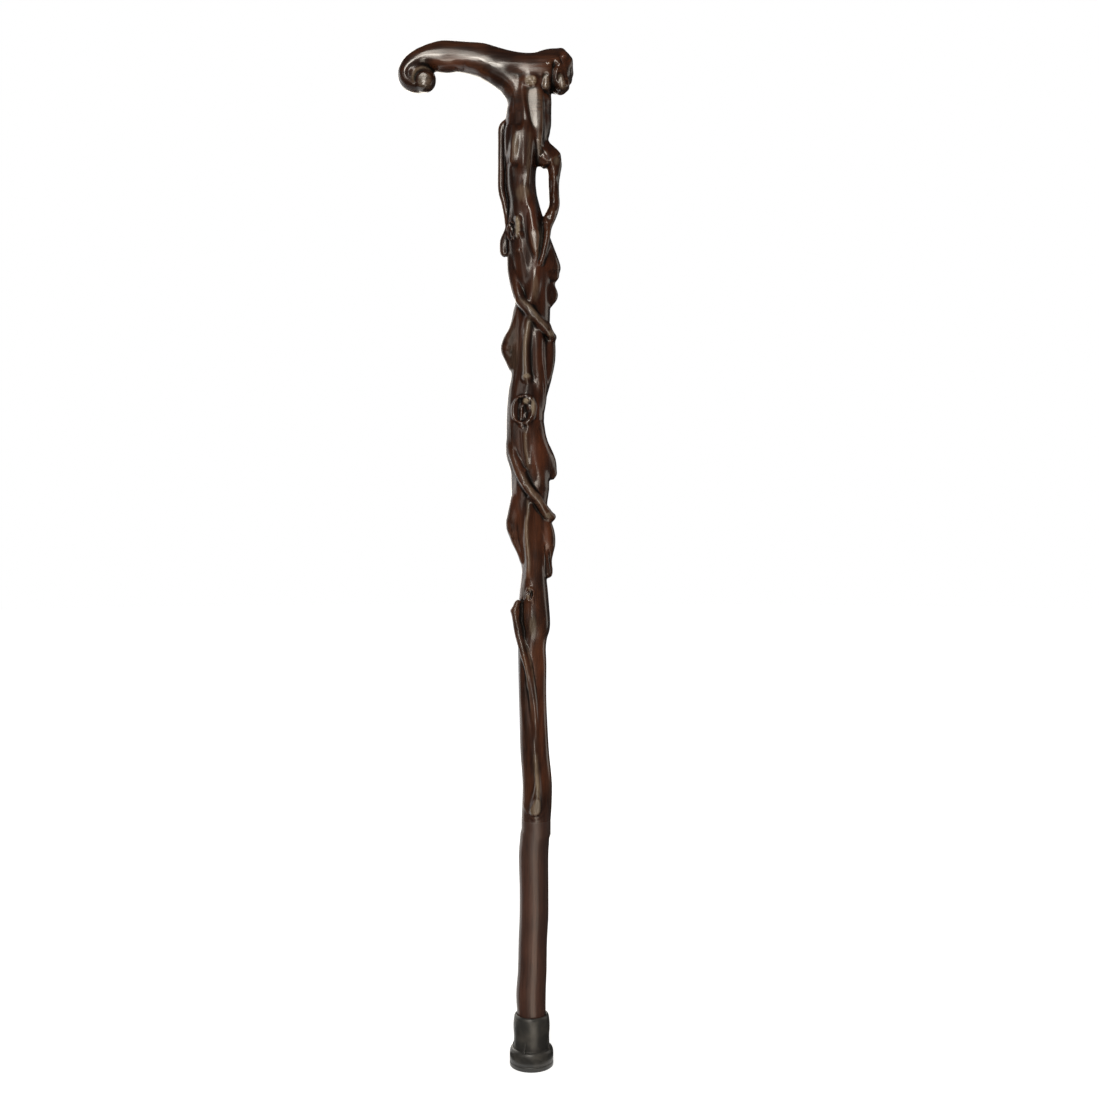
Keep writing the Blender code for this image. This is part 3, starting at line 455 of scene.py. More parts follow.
# Roots on the sides and the back, the same way with a bearing (0 front, 90 right) for x.
sideRoots = {
    "leftStrand": (1.5, 0.6, (
        (613, -89, 1.0, 2.4), (608, -94, 3.2, 3.4), (590, -98, 3.6, 3.4), (559, -98, 4.6, 3.4),
        (542, -95, 3.4, 3.2), (528, -85, 0.2, 3.0), (516, -74, -1.2, 2.6),
    )),
    "hangingLobe": (2.5, 0.6, ((518, -80, -2.0, 4.0), (508, -88, 1.2, 4.6), (499, -90, 2.6, 4.2))),
    "rightBulgeUpper": (6.0, 0.0, (
        (506, 70, -6.0, 8.0), (492, 80, -3.5, 9.0), (483, 88, -1.0, 8.6), (479, 88, 0.0, 6.2),
    )),
    "rightBulgeLower": (4.0, 0.0, (
        (467, 84, -2.0, 5.0), (461, 88, 0.8, 5.6), (456, 88, -1.0, 5.0),
    )),
    "leftSpurUpper": (5.0, 0.0, (
        (445, -70, -6.0, 6.0), (430, -78, -3.5, 6.5), (421, -86, 0.4, 7.0), (414, -90, 2.4, 7.0),
        (407, -90, 0.6, 6.4), (400, -86, -1.0, 5.0),
    )),
    "rightRootUpper": (4.0, 0.4, (
        (432, 68, -2.0, 5.0), (420, 78, -0.5, 6.0), (405, 82, -0.6, 6.2), (392, 80, -1.4, 5.4),
        (380, 74, -3.0, 4.0),
    )),
    "rightBulgeMiddle": (6.0, 0.0, (
        (336, 60, -10.0, 8.0), (326, 68, -6.4, 9.2), (319, 75, -2.8, 9.6), (312, 82, 0.0, 8.8),
        (305, 86, 2.6, 6.0),
    )),
    "leftSpurLower": (5.0, 0.0, (
        (280, -74, -4.0, 5.5), (268, -84, -1.4, 6.4), (259, -90, 0.8, 6.6), (250, -88, 1.2, 5.6),
        (244, -85, 1.8, 4.4), (236, -80, 0.0, 3.6), (228, -74, -1.6, 2.6),
    )),
    "rightRootLower": (3.5, 0.5, (
        (264, 70, -2.0, 5.0), (254, 76, 0.6, 6.0), (244, 80, 0.8, 6.4), (236, 82, 0.2, 5.4),
        (228, 84, 0.6, 4.0), (220, 85, 1.8, 3.8), (216, 85, 2.0, 3.4),
    )),
    "backRootUpper": (4.0, 0.35, (
        (612, 138, -1.0, 4.6), (588, 150, 1.2, 5.4), (555, 163, 1.4, 5.2), (520, 176, 0.8, 5.4),
        (485, 192, 0.8, 5.2), (450, 206, 1.4, 5.0), (425, 218, 2.2, 4.4), (410, 228, 0.6, 3.2),
    )),
    "backRootMiddle": (4.0, 0.35, (
        (508, 116, -2.4, 4.0), (480, 132, 0.8, 5.2), (450, 150, 1.4, 5.0), (420, 165, 1.6, 4.8),
        (385, 178, 1.0, 4.8), (350, 190, 1.0, 4.4), (315, 206, 1.6, 4.4), (290, 218, 2.0, 4.0),
        (276, 228, 0.2, 2.8),
    )),
    "backRootLower": (3.0, 0.4, (
        (390, 126, -2.8, 3.4), (360, 136, 0.6, 4.2), (330, 146, 1.6, 4.6), (300, 158, 1.6, 4.4),
        (265, 170, 1.2, 4.2), (230, 182, 0.8, 3.8), (195, 195, 1.0, 3.6), (170, 208, 1.4, 3.2),
        (145, 214, 0.4, 2.8), (112, 218, -1.4, 2.0),
    )),
    "backRidge": (2.5, 0.4, (
        (270, 118, -1.8, 3.0), (240, 128, 0.9, 3.8), (210, 142, 1.1, 3.6), (180, 150, 1.0, 3.4),
        (135, 160, 0.6, 3.2), (85, 166, 0.0, 2.8), (45, 170, -1.4, 2.0),
    )),
    "backSpur": (3.0, 0.3, (
        (550, 212, -2.4, 3.6), (538, 220, 2.0, 4.4), (529, 222, 2.4, 3.8), (519, 224, -1.4, 3.0),
    )),
    "backLobe": (5.0, 0.0, (
        (420, 116, -5.0, 6.0), (400, 124, -1.0, 7.0), (382, 130, -1.6, 6.0), (366, 134, -4.0, 5.0),
    )),
    "backSwell": (6.0, 0.0, (
        (312, 236, -5.0, 6.0), (296, 232, -2.0, 7.0), (270, 226, -3.0, 6.0), (250, 222, -5.0, 5.0),
    )),
}

# Knots: height, bearing, half width, half height, radius of the rim.
knots = {
    "knotTop": (515, -53, 4.6, 8.2, 0.9),
    "knotMiddle": (359, -6, 10.6, 12.0, 1.1),
    "knotBottom": (198.5, -17, 3.4, 6.0, 0.7),
    "knotBackTop": (470, 224, 7.0, 9.5, 1.7),
    "knotBackBottom": (345, 232, 5.4, 7.6, 1.4),
}

# The open branch and the cut stub beside it: x, y, height above the carved foot, radius.
branch = (
    (3.0, 0.0, 590, 10.0),
    (12.0, 0.0, 582, 9.2),
    (18.8, 0.0, 577.6, 7.8),
    (19.7, 0.0, 569, 5.8),
    (19.4, -0.4, 561, 5.0),
    (19.6, -1.2, 549, 4.8),
    (19.8, -2.0, 540, 4.9),
    (17.4, -3.4, 531, 5.2),
    (13.4, -7.0, 521, 4.8),
    (12.4, -11.0, 510, 4.0),
    (11.0, -14.2, 497, 3.2),
    (8.2, -16.4, 486, 2.0),
)
branchStub = (
    (9.0, 0.0, 592, 7.5),
    (21.2, 0.0, 584, 4.8),
)

# Handle, above its foot: x, height, half height, half depth.
grip = {
    "squareness": 2.3,
    "taper": 0.13,
    "stations": (
        (36.8, 40.0, 1.0, 1.0),
        (35.2, 40.2, 8.6, 7.4),
        (32.0, 40.6, 14.6, 11.8),
        (26.0, 41.0, 18.6, 15.0),
        (15.0, 41.4, 18.2, 16.8),
        (3.0, 40.6, 15.2, 17.0),
        (-10.0, 41.4, 14.6, 16.2),
        (-22.9, 43.6, 15.2, 14.0),
        (-34.8, 47.6, 14.6, 13.6),
        (-44.9, 51.0, 14.2, 13.2),
        (-57.6, 53.1, 12.9, 13.0),
        (-66.9, 54.0, 12.6, 13.0),
        (-80.0, 53.6, 13.2, 13.0),
        (-93.6, 52.4, 9.6, 12.8),
        (-104.6, 47.0, 8.2, 12.4),
        (-110.6, 40.4, 6.8, 12.0),
        (-111.5, 34.2, 5.8, 11.8),
        (-108.8, 29.8, 5.0, 11.5),
        (-103.0, 27.2, 4.6, 11.2),
        (-96.8, 26.6, 4.0, 11.0),
        (-91.0, 29.0, 3.2, 10.6),
    ),
    "throat": (
        (-53.7, 51.6, 9.8, 11.0),
        (-39.6, 45.6, 11.6, 12.5),
        (-24.0, 37.0, 12.4, 14.0),
        (-13.2, 26.4, 12.8, 15.0),
        (-8.4, 15.8, 12.8, 15.8),
        (-7.0, 0.0, 13.0, 16.0),
        (-7.0, -8.0, 13.0, 16.0),
    ),
    # x, y, height, half width, half depth
    "scrollEyes": (
        (-94.0, -2.5, 31.6, 10.2, 10.8),
        (-102.0, 0.0, 36.6, 14.4, 12.0),
        (-97.0, 0.0, 30.4, 8.2, 11.0),
        (-93.6, 3.0, 34.6, 9.4, 9.4),
    ),
    # x, y, height, radius
    "lumps": {
        "burlTop": (25.6, -3.0, 54.8, 5.6),
        "burlBottom": (25.0, -1.0, 27.6, 8.0),
        "burlBack": (23.0, 10.6, 34.0, 7.0),
        "burlCheek": (12.4, -9.4, 27.0, 7.0),
        "burlCheekRight": (26.2, -6.8, 28.0, 7.4),
    },
}

carving = {
    "voxel": 0.7,
    "relaxRounds": 2,
    "meltRounds": 3,
    "handleRounds": 14,
    "strandSides": 20,
    "barSides": 64,
    "trunkSides": 72,
    "spanSteps": 5,
    "strokeSteps": 6,
    "knotSteps": 48,
    # how softly the branches and the knots' rims melt in, and how deep their creases are
    "branchMelt": (3.0, 0.3),
    "rimMelt": (1.2, 0.15),
    "creaseDepth": 0.65,
    "creaseWidth": 1.5,
    # radius that turns the way round the trunk into millimetres
    "unrollRadius": 15.0,
    # rounds of smoothing that the skin is held against, and the rise that counts as full
    "fineRelief": (10, 0.35),
    "wideRelief": (60, 1.3),
    "boxMargin": 0.05,
    "faceLimit": 172000,
}

# Heights above the carved foot between which the carving comes in, and goes out again.
carvedFades = {
    "melt": ((-12.0, -4.0), (600.0, 612.0)),
    "creases": ((-2.0, 6.0), (600.0, 612.0)),
    "noise": ((-2.0, 8.0), (600.0, 622.0)),
}

# Noise over the skin: height, size of a cell in x, y and z, seed.
skinNoise = {
    "swell": (0.60, (7.5, 7.5, 46.0), 3),
    "cords": (0.20, (4.6, 4.6, 34.0), 5),
    "fibres": (0.05, (1.9, 1.9, 22.0), 7),
    "turnedShaft": (0.10, (9.0, 9.0, 30.0), 9),
    "handle": (0.22, (20.0, 7.0, 7.0), 11),
    "handleGrain": (0.06, (14.0, 2.4, 2.4), 13),
    "burl": (0.35, (4.4, 4.4, 4.4), 15),
}

# The spiral groove on both faces of the scroll, round its eye.
scrollGroove = {
    "centre": (-93.4, 29.2),
    "bearings": (24.0, 222.0),
    "radii": (8.8, 8.4),
    "width": 1.5,
    # shares of the way round and the depth there
    "shares": (0.0, 0.2, 0.5, 0.8, 1.0),
    "depths": (0.3, 1.1, 1.3, 1.0, 0.1),
}

# Strokes cut into the front of the carved shaft: rise (+) or depth (-), width, and points of x
# and height.
frontStrokes = {
    "strandCrest": (0.3, 1.1, ((-24.8, 603), (-24.6, 585), (-24.8, 566), (-22.5, 552))),
    "fingerTip": (-0.6, 2.2, ((-21, 576), (-17, 570), (-12, 571), (-9, 577))),
    "flankGap": (-1.5, 1.3, ((10, 522), (9.4, 508), (8, 495), (6, 485))),
    "outerFlankRidge": (0.5, 1.4, ((12.4, 519), (12, 506), (9.4, 491), (6.4, 480))),
    "innerFlankRidge": (0.4, 1.4, ((-3, 508), (1, 499), (4.4, 491))),
    "vineGully": (-0.6, 2.5, ((-18, 490), (-16.5, 476), (-14, 464))),
    "vineNub": (0.8, 1.2, ((-11, 456), (-9.5, 451))),
    "ridgeLeftGroove": (-0.6, 1.5, ((-5.6, 434), (-8.4, 420), (-8.8, 404), (-7.6, 389))),
    "ridgeMiddleGroove": (-0.4, 1.8, ((0.6, 424), (0.2, 408), (0.6, 394), (2.4, 378))),
    "rootLine": (0.4, 1.4, ((9, 402), (11.5, 388), (13, 376))),
    "rootGroove": (-0.5, 1.4, ((7, 408), (9.4, 391), (11.2, 376), (12, 367))),
    "leftRim": (0.4, 1.5, ((-12, 452), (-15.5, 436), (-20, 425))),
    "leftCrease": (-0.6, 1.8, ((-11.5, 436), (-13, 420), (-13.6, 405), (-15.5, 392), (-17, 378))),
    "spurWrinkleHigh": (-0.5, 1.3, ((-25, 419), (-18, 416))),
    "spurWrinkleMiddle": (-0.5, 1.3, ((-26, 412), (-17, 408))),
    "spurWrinkleLow": (-0.5, 1.3, ((-24.5, 405), (-18, 401))),
    "spurFlute": (-0.4, 1.4, ((-21, 424), (-22, 415), (-20.6, 404))),
    "eyeCrescent": (2.2, 1.7, ((0.6, 368), (2.4, 361.5), (1.4, 355), (-1.6, 350))),
    "knotRing": (0.7, 0.7, ((-20, 536), (-21, 522), (-19.4, 511), (-15.4, 505))),
    "eyeArcLeft": (0.5, 1.3, ((-15, 367), (-16.2, 359), (-14.4, 351))),
    "eyeGapLeft": (-0.6, 1.3, ((-12.6, 366), (-13.4, 358), (-12, 351))),
    "knotTailLeft": (0.4, 1.3, ((-13, 350), (-9, 343), (-5, 335))),
    "knotTailRight": (0.4, 1.3, ((-1, 349), (-3.5, 341), (-5, 335))),
    "leafHollow": (-1.0, 4.2, ((-13.5, 350), (-15, 338), (-14, 325), (-12, 315))),
    "leafEdge": (0.4, 1.3, ((-18, 347), (-19, 334), (-17, 322), (-14.4, 310))),
    "lowVineNubHigh": (0.9, 1.1, ((-7, 308), (-5, 305))),
    "lowVineNubLow": (0.9, 1.1, ((-7, 295), (-6, 291.5))),
    "lowVineEdge": (0.3, 1.0, ((0, 292), (5, 286), (10, 280.4))),
    "longGroove": (-0.5, 1.4, ((-5.4, 273), (-6.8, 260), (-6.6, 248), (-5.6, 237), (-4.4, 225))),
    "rightRootLine": (0.5, 1.3, ((8.4, 259), (11.6, 249), (11, 238), (11.8, 227), (13, 214))),
    "rightRootGap": (-1.5, 1.1, ((13.6, 237), (14.2, 226), (15, 213))),
    "lowSpurWrinkleHigh": (-0.5, 1.3, ((-23.5, 264), (-16, 260))),
    "lowSpurWrinkleMiddle": (-0.6, 1.3, ((-22.5, 255), (-15, 252))),
    "lowSpurWrinkleLow": (-0.5, 1.3, ((-20.5, 247.5), (-13, 245))),
    "lowSpurGroove": (-0.5, 1.7, ((-13, 268), (-13.4, 256), (-11.6, 245), (-8.6, 232))),
    "shoulderStep": (-0.5, 2.5, ((16, 167), (13.5, 162), (9.5, 157))),
    "twigGap": (-1.6, 1.2, ((-8.6, 193), (-9.4, 183), (-8.8, 172), (-6.6, 162))),
    "twigFacet": (-0.5, 2.0, ((-17, 190), (-13.4, 188), (-10.4, 190))),
    "rootLineOuterGap": (-0.4, 1.1, ((-3, 153), (-0.2, 141), (2.4, 130), (4.2, 118), (6, 104))),
    "rootLineInnerGap": (-0.4, 1.1, (
        (-10, 150), (-9, 140), (-6.6, 129), (-6, 119), (-4, 110), (-2.6, 99), (-1, 86),
    )),
    "rootHollow": (-0.4, 2.0, ((-6, 146), (-3.4, 132), (-1.2, 118), (1, 104), (2.6, 90))),
    "stubGroove": (-0.7, 1.2, ((1.4, 50), (2.2, 38), (1.4, 26))),
    "collarFold": (0.8, 1.4, ((-9, 16), (-5, 9), (-1, 5), (4.5, 3.4), (10, 7), (14, 14))),
    "collarGroove": (-0.2, 1.6, ((-10, 11), (-5, 5), (-1, 1.5), (4.5, 0), (10, 3), (14, 9))),
}

# The same on the back, which the photograph doesn't show.
backStrokes = {
    "backLineA": (0.8, 1.0, ((-9, 600), (-12, 580), (-14, 560), (-12, 545))),
    "backGapA": (-1.1, 1.1, ((-5, 598), (-8, 578), (-10, 556))),
    "backLineB": (0.7, 1.1, ((2, 560), (4, 540), (2, 515), (-2, 497))),
    "backGapB": (-1.3, 1.2, ((6, 545), (8, 520), (6, 500), (2, 484))),
    "backLineC": (0.8, 1.0, ((12, 520), (13, 500), (10, 478), (4, 462))),
    "backGapC": (-1.0, 1.2, ((14, 440), (11, 420), (7, 402), (6, 388))),
    "backLineD": (0.8, 1.0, ((10, 444), (7, 424), (3, 404), (2, 386))),
    "backWrinkleA": (-0.8, 0.8, ((-14, 450), (-7, 446))),
    "backWrinkleB": (-0.8, 0.8, ((-15, 441), (-8, 438))),
    "backGapD": (-1.1, 1.2, ((-12, 400), (-9, 380), (-10, 362), (-13, 348))),
    "backLineE": (0.9, 0.9, ((-3, 372), (-1, 350), (-3, 330), (-8, 312))),
    "backGapE": (-1.2, 1.1, ((8, 372), (9, 350), (6, 330), (2, 312), (-2, 298))),
    "backLineF": (0.7, 1.0, ((12, 340), (10, 320), (7, 300), (2, 284))),
    "backGapF": (-1.1, 1.1, ((-6, 290), (-5, 268), (-7, 246), (-6, 226))),
    "backLineG": (0.9, 0.9, ((9, 268), (7, 248), (4, 226), (5, 204), (8, 186))),
    "backGapG": (-1.0, 1.1, ((5, 262), (3, 244), (0, 222), (1, 200))),
    "backLineH": (0.8, 0.9, ((-4, 200), (-6, 180), (-3, 160), (0, 138), (2, 108))),
    "backGapH": (-1.0, 1.0, ((-1, 196), (-2, 176), (1, 152), (4, 130))),
    "backLineI": (0.7, 0.9, ((7, 120), (6, 96), (4, 70), (5, 40))),
    "backCollarFold": (0.9, 1.2, ((-9, 14), (-4, 9), (2, 10), (7, 6), (12, 10), (15, 16))),
    "backCollarGroove": (-0.8, 1.2, ((-10, 9), (-4, 4), (2, 5), (7, 1.5), (12, 5), (15, 11))),
}

# Small lumps (+) and pits (-) on the front: rise, half width, half height, x, height.
frontDabs = {
    "trunkHollow": (-1.4, 9.0, 9.0, -10, 563),
    "trunkSwell": (0.8, 6.0, 7.0, -7, 546),
    "knotBeadHigh": (2.4, 2.4, 3.1, -12.2, 524),
    "knotBeadMiddle": (1.9, 2.2, 2.7, -11.4, 517.4),
    "knotBeadLow": (2.4, 2.6, 2.9, -11.5, 510.8),
    "knotGlint": (1.1, 1.2, 1.2, -17.8, 522),
    "knotDark": (-2.0, 2.6, 4.8, -17.8, 518),
    "pitRim": (0.6, 2.6, 2.4, -12.5, 497),
    "pit": (-1.0, 0.9, 0.9, -11, 497.5),
    "wedge": (1.2, 3.4, 1.8, -4.2, 387),
    "eyeBall": (3.2, 2.8, 2.6, -4.6, 366.4),
    "eyeSide": (1.5, 1.3, 1.3, -10.2, 369.6),
    "eyePit": (-1.5, 2.2, 2.6, -10.8, 366.6),
    "eyeCore": (-1.6, 1.9, 3.6, -6, 359.6),
    "eyeBead": (1.5, 1.7, 2.2, -1.6, 361),
    "eyeColumn": (1.3, 1.3, 4.6, -9.8, 355),
    "eyeSlot": (-1.1, 1.0, 3.4, -3.4, 355),
    "eyeFoot": (1.2, 1.8, 1.6, -4.2, 346.5),
    "eyeFootLeft": (0.9, 1.6, 1.5, -9, 344.6),
    "tipBlob": (0.9, 3.0, 2.4, 14.8, 266.6),
    "beadHigh": (1.4, 1.3, 1.7, -1.8, 203),
    "beadLow": (1.4, 1.3, 2.0, -2.8, 195.6),
    "beadCore": (-1.2, 1.4, 2.4, 0.0, 199),
    "beadSide": (0.6, 0.9, 2.0, 1.6, 192),
    "twigTip": (0.8, 2.4, 2.4, -16.2, 184),
    "stubFace": (-0.9, 3.4, 6.5, 4.2, 16.0),
}
backDabs = {
    "backLumpA": (1.0, 2.2, 3.4, -13, 536),
    "backPitA": (-1.2, 1.2, 1.6, 9, 552),
    "backLumpB": (0.9, 2.4, 3.0, 13, 486),
    "backPitB": (-1.2, 1.1, 1.4, 0, 430),
    "backRimB": (0.7, 2.6, 3.0, 0, 430),
    "backLumpC": (0.9, 2.0, 3.2, 11, 300),
    "backPitC": (-1.1, 1.0, 1.5, -9, 214),
    "backRimC": (0.7, 2.4, 3.0, -9, 214),
    "backLumpD": (0.8, 2.0, 3.4, 8, 150),
}

# Handle strokes, as seen from the front: rise, width, and points of x and height above the
# handle's foot.
handleFrontStrokes = {
    "coilCrest": (0.15, 1.6, ((-87, 41.5), (-93, 42), (-99, 39.6), (-103.2, 35), (-104, 29))),
    "burlCrevice": (-1.6, 1.8, ((19.6, 44), (18.6, 36), (18.4, 27), (19.4, 20))),
    "burlRidge": (1.0, 1.8, ((22.6, 36), (24.2, 30), (25.4, 23))),
    "burlGap": (-1.3, 1.0, ((28, 36), (29.2, 29), (28.8, 21))),
    "burlSeam": (-0.9, 0.9, ((24, 49), (26, 45), (27.4, 40))),
    "neckGapRight": (-0.4, 2.0, ((9.6, 20), (9.6, 8), (10, -4), (9.8, -16))),
    "neckUnderBar": (-0.6, 2.2, ((-26, 27), (-20, 20), (-16.4, 10), (-16, -2))),
    "barChiselA": (-0.6, 2.2, ((-60, 42), (-56.5, 41.4))),
    "barChiselB": (-0.6, 2.0, ((-55, 37.6), (-47, 36.4))),
    "barChiselC": (-0.5, 2.0, ((-44, 33.2), (-35, 31.2))),
    "barHollow": (-0.4, 2.6, ((-90, 38.6), (-78, 40), (-66, 38.6))),
    "burlFoot": (-0.8, 1.6, ((9, 21), (14, 18), (22, 15.5))),
}
handleBackStrokes = {
    "coilCrestBack": (0.5, 1.4, ((-86, 46), (-94, 44.5), (-101, 40), (-104.5, 34), (-104, 27))),
    "burlCreviceBack": (-1.6, 1.2, ((18, 50), (19, 42), (17, 34), (18, 24))),
    "burlLineBack": (0.9, 1.0, ((26, 48), (27.5, 40), (26, 30))),
    "burlGapBack": (-1.2, 1.0, ((29, 47), (30, 40), (29, 31))),
    "neckGapBack": (-0.9, 1.5, ((-10, 26), (-8, 12), (-9, -4), (-6, -16))),
    "neckLineBack": (0.8, 1.2, ((-3, 28), (-2, 14), (-3, 0), (0, -14))),
    "neckGapBackRight": (-0.8, 1.3, ((8, 24), (7, 10), (9, -4), (8, -14))),
}
handleFrontDabs = {
    "neckKnot": (1.7, 4.6, 3.6, -1.6, 27.6),
    "neckKnotPit": (-0.8, 0.9, 0.7, 0.6, 27.0),
    "neckKnotDent": (-0.5, 1.0, 0.7, -2.6, 29.4),
    "burlBeadLeft": (1.3, 1.7, 1.3, 15.9, 42),
    "burlPitHigh": (-1.5, 2.0, 2.8, 20.0, 41),
    "burlBeadHigh": (1.2, 1.2, 1.3, 24.8, 41.4),
    "burlBeadLow": (1.1, 1.2, 1.3, 22.8, 37),
    "burlRing": (0.9, 2.8, 3.6, 30.6, 26),
    "burlHole": (-1.6, 1.2, 1.6, 31.0, 27),
    "burlNose": (1.3, 1.7, 1.7, 28.6, 49.6),
}
handleBackDabs = {
    "burlBeadBack": (1.1, 1.8, 1.8, 24, 52),
    "burlPitBack": (-1.8, 1.6, 2.2, 31, 36),
    "burlRimBack": (1.1, 3.4, 4.0, 31, 36),
    "neckKnotBack": (1.2, 3.4, 4.2, 2, 33),
    "neckHoleBack": (-1.6, 1.0, 1.2, 2, 33),
}
# Knobs on the burl's end face: rise, half size, y, height.
burlEndDabs = (
    (0.7, 2.8, -7.0, 47.0),
    (0.6, 2.4, 1.0, 52.0),
    (0.7, 2.8, 7.5, 44.0),
    (-1.0, 2.0, 2.0, 42.0),
    (0.6, 2.6, -1.5, 36.0),
    (-0.8, 1.7, -6.5, 39.0),
    (0.7, 2.6, 6.0, 33.0),
    (-0.8, 1.7, 2.5, 28.5),
    (0.6, 2.8, -2.5, 24.0),
)

# The open branch, seen from the front: strokes and dabs with x and height.
branchStrokes = {
    "cutRim": (1.0, 0.8, ((10.3, 579), (14, 577.4), (18, 578), (22.7, 583.2))),
    "cutRimLow": (0.8, 0.8, ((17.6, 577.4), (18.4, 572.4))),
    "armGroove": (-0.9, 1.1, ((6, 590), (10.5, 585), (13.5, 581.4))),
    "branchCrest": (0.8, 0.9, ((19.4, 570), (20.6, 560), (19.6, 549), (20.4, 540), (17.2, 530))),
    "branchGroove": (-0.8, 0.9, ((17.4, 568), (17.8, 557), (17.2, 547), (17.6, 538))),
}
branchDabs = {
    "cutFace": (-1.1, 2.6, 3.4, 22.2, 577),
    "armKnob": (0.4, 3.0, 2.6, 13.6, 584),
    "armDent": (-0.8, 2.0, 2.0, 8.5, 583),
    "knobA": (1.0, 2.2, 2.8, 19.6, 563),
    "dentA": (-0.9, 1.8, 2.4, 21.4, 555),
    "knobB": (0.9, 2.2, 2.6, 18.4, 547),
    "dentB": (-0.8, 1.8, 2.2, 21.0, 541),
    "knobC": (0.9, 2.2, 2.6, 18.6, 532),
    "dentC": (-0.8, 1.6, 2.2, 14.8, 526),
}

# Flat cuts that catch the light: x and height of the middle, half width, half height, lean of the
# middle line, how much wider the top is, degrees turned left and tilted up, depth, dome, and how
# pale the cut is painted: bare end grain on the stub's cut, a painted highlight on the others.
shaftFacets = {
    "tongueCut": (3.0, 504.5, 3.4, 10.5, -0.11, 0.45, 5.0, 0.0, 0.2, 0.3, 0.15),
    "stubCut": (4.2, 14.6, 3.9, 8.0, 0.2, -0.4, 0.0, -6.0, 0.15, 0.1, 0.45),
}
handleFacets = {
    "neckLeftCut": (-10.8, 3.0, 4.8, 17.0, 0.05, 0.0, 20.0, 0.0, 0.1, 0.3, 0.0),
    "neckWedge": (3.2, 3.0, 7.0, 22.5, -0.126, 0.3, 6.5, 3.0, 0.0, 0.5, 0.1),
    "neckKnotCut": (-0.6, 26.6, 5.4, 4.6, 0.0, 0.0, 6.5, 5.0, -0.8, 0.6, 0.6),
    "burlCut": (12.5, 26.4, 3.2, 6.6, 0.0, -0.1, 7.5, 4.0, 0.1, 0.7, 0.25),
    "burlCutRight": (26.2, 27.4, 3.2, 6.4, -0.2, -0.1, 7.5, 4.0, 0.1, 0.7, 0.25),
    "eyeCut": (-93.2, 29.0, 6.2, 6.6, 0.0, 0.0, 0.5, 2.0, 0.2, 0.9, 0.2),
}

# Pits that are bored after the flat cuts: depth, half width, half height, x and height.
handlePits = {
    "knotHole": (-1.7, 1.7, 1.2, -2.4, 24.2),
    "knotCheck": (-0.5, 0.8, 1.6, 1.4, 27.6),
}

# Crests on the front, raised, with a painted highlight along the top: half width, rise, how pale it
# is painted, points of x and height.
paintedHighlightCrests = {
    "fingerCrest": (1.8, 0.2, 0.3, ((-12.4, 597), (-13.8, 588), (-15.6, 577))),
    "longCrest": (1.6, 0.2, 0.2, ((-0.8, 597), (-2.2, 572), (-3.2, 556))),
    "shortCrest": (1.5, 0.4, 0.3, ((7.0, 598), (7.2, 590), (7.8, 583))),
    "flankCrest": (1.3, 0.2, 0.35, ((5.6, 523), (7.2, 512), (7, 503), (5, 491))),
    "vineCrest": (1.8, 0.2, 0.4, ((-9, 453.5), (-4, 449), (1, 443.6), (8, 435.6), (14, 430))),
    "ridgeCrest": (1.8, 0.2, 0.5, ((-1.0, 438), (-3.4, 428), (-5.6, 413), (-6, 397), (-5, 385))),
    "thinCrest": (1.4, 0.3, 0.4, ((-5.4, 341), (-5.0, 326), (-3.6, 318), (-2.6, 308))),
    "lowVineCrest": (1.8, 0.2, 0.35, ((-7.5, 303), (-3, 292.4), (4, 283.4), (10, 276))),
    "longCrestLow": (1.3, 0.2, 0.5, (
        (-3.2, 279), (-2.8, 269), (-4.4, 261), (-4.4, 250), (-3.4, 240), (-2.2, 228), (-2.4, 218),
    )),
    "rootCrestInner": (0.9, 0.3, 0.2, (
        (-8.4, 157), (-6.4, 144), (-4, 132), (-3.8, 119), (-2, 113), (0.8, 89),
    )),
    "rootCrestOuter": (0.8, 0.3, 0.2, ((-5.6, 158), (-2, 146), (1, 131), (2.9, 119), (5, 103))),
    "coilArc": (1.0, 0.1, 0.5, (
        (-87, 657.4), (-94, 658), (-99.6, 655.6), (-102.4, 652), (-103.4, 648), (-102.6, 644),
    )),
    "stubCrest": (1.8, 0.3, 0.75, ((3.6, 58), (4.2, 46), (5.0, 36), (5.8, 28), (5.6, 21))),
}

# Pale spots in the bare wood's colour: how pale, half width, half height, x and height. The cut
# face is bare end grain, the knot beads and lumps are partly worn bare and partly painted
# highlights, and the tips, the ridge end and the sheen spots are painted highlights and sheen.
bareAndSheenSpots = {
    "beads": (1.0, 2.5, 10.2, -11.7, 517.3),
    "eyeBall": (1.0, 3.0, 2.8, -4.6, 366.4),
    "crescent": (0.9, 2.0, 8.4, 1.6, 361),
    "beadHigh": (0.6, 1.3, 1.7, -1.8, 203),
    "beadLow": (0.7, 1.4, 2.2, -2.8, 196),
    "ridgeEnd": (0.7, 3.6, 2.6, -4.2, 388),
    "vineTip": (0.45, 3.4, 2.8, 17.4, 425),
    "lowVineTip": (0.5, 3.4, 3.2, 14.8, 267),
    "cutFace": (0.3, 3.0, 4.5, 22.0, 577.5),
    "leftSheen": (0.08, 7.0, 26.0, -16, 412),
    "fingerSheen": (0.4, 3.0, 11.0, -13.8, 587),
    "bellySheen": (0.26, 6.6, 9.0, -7.6, 547),
    "swellSheen": (0.22, 3.6, 13.0, 3.8, 464),
    "lowSheen": (0.3, 3.8, 11.0, 1.2, 171),
}
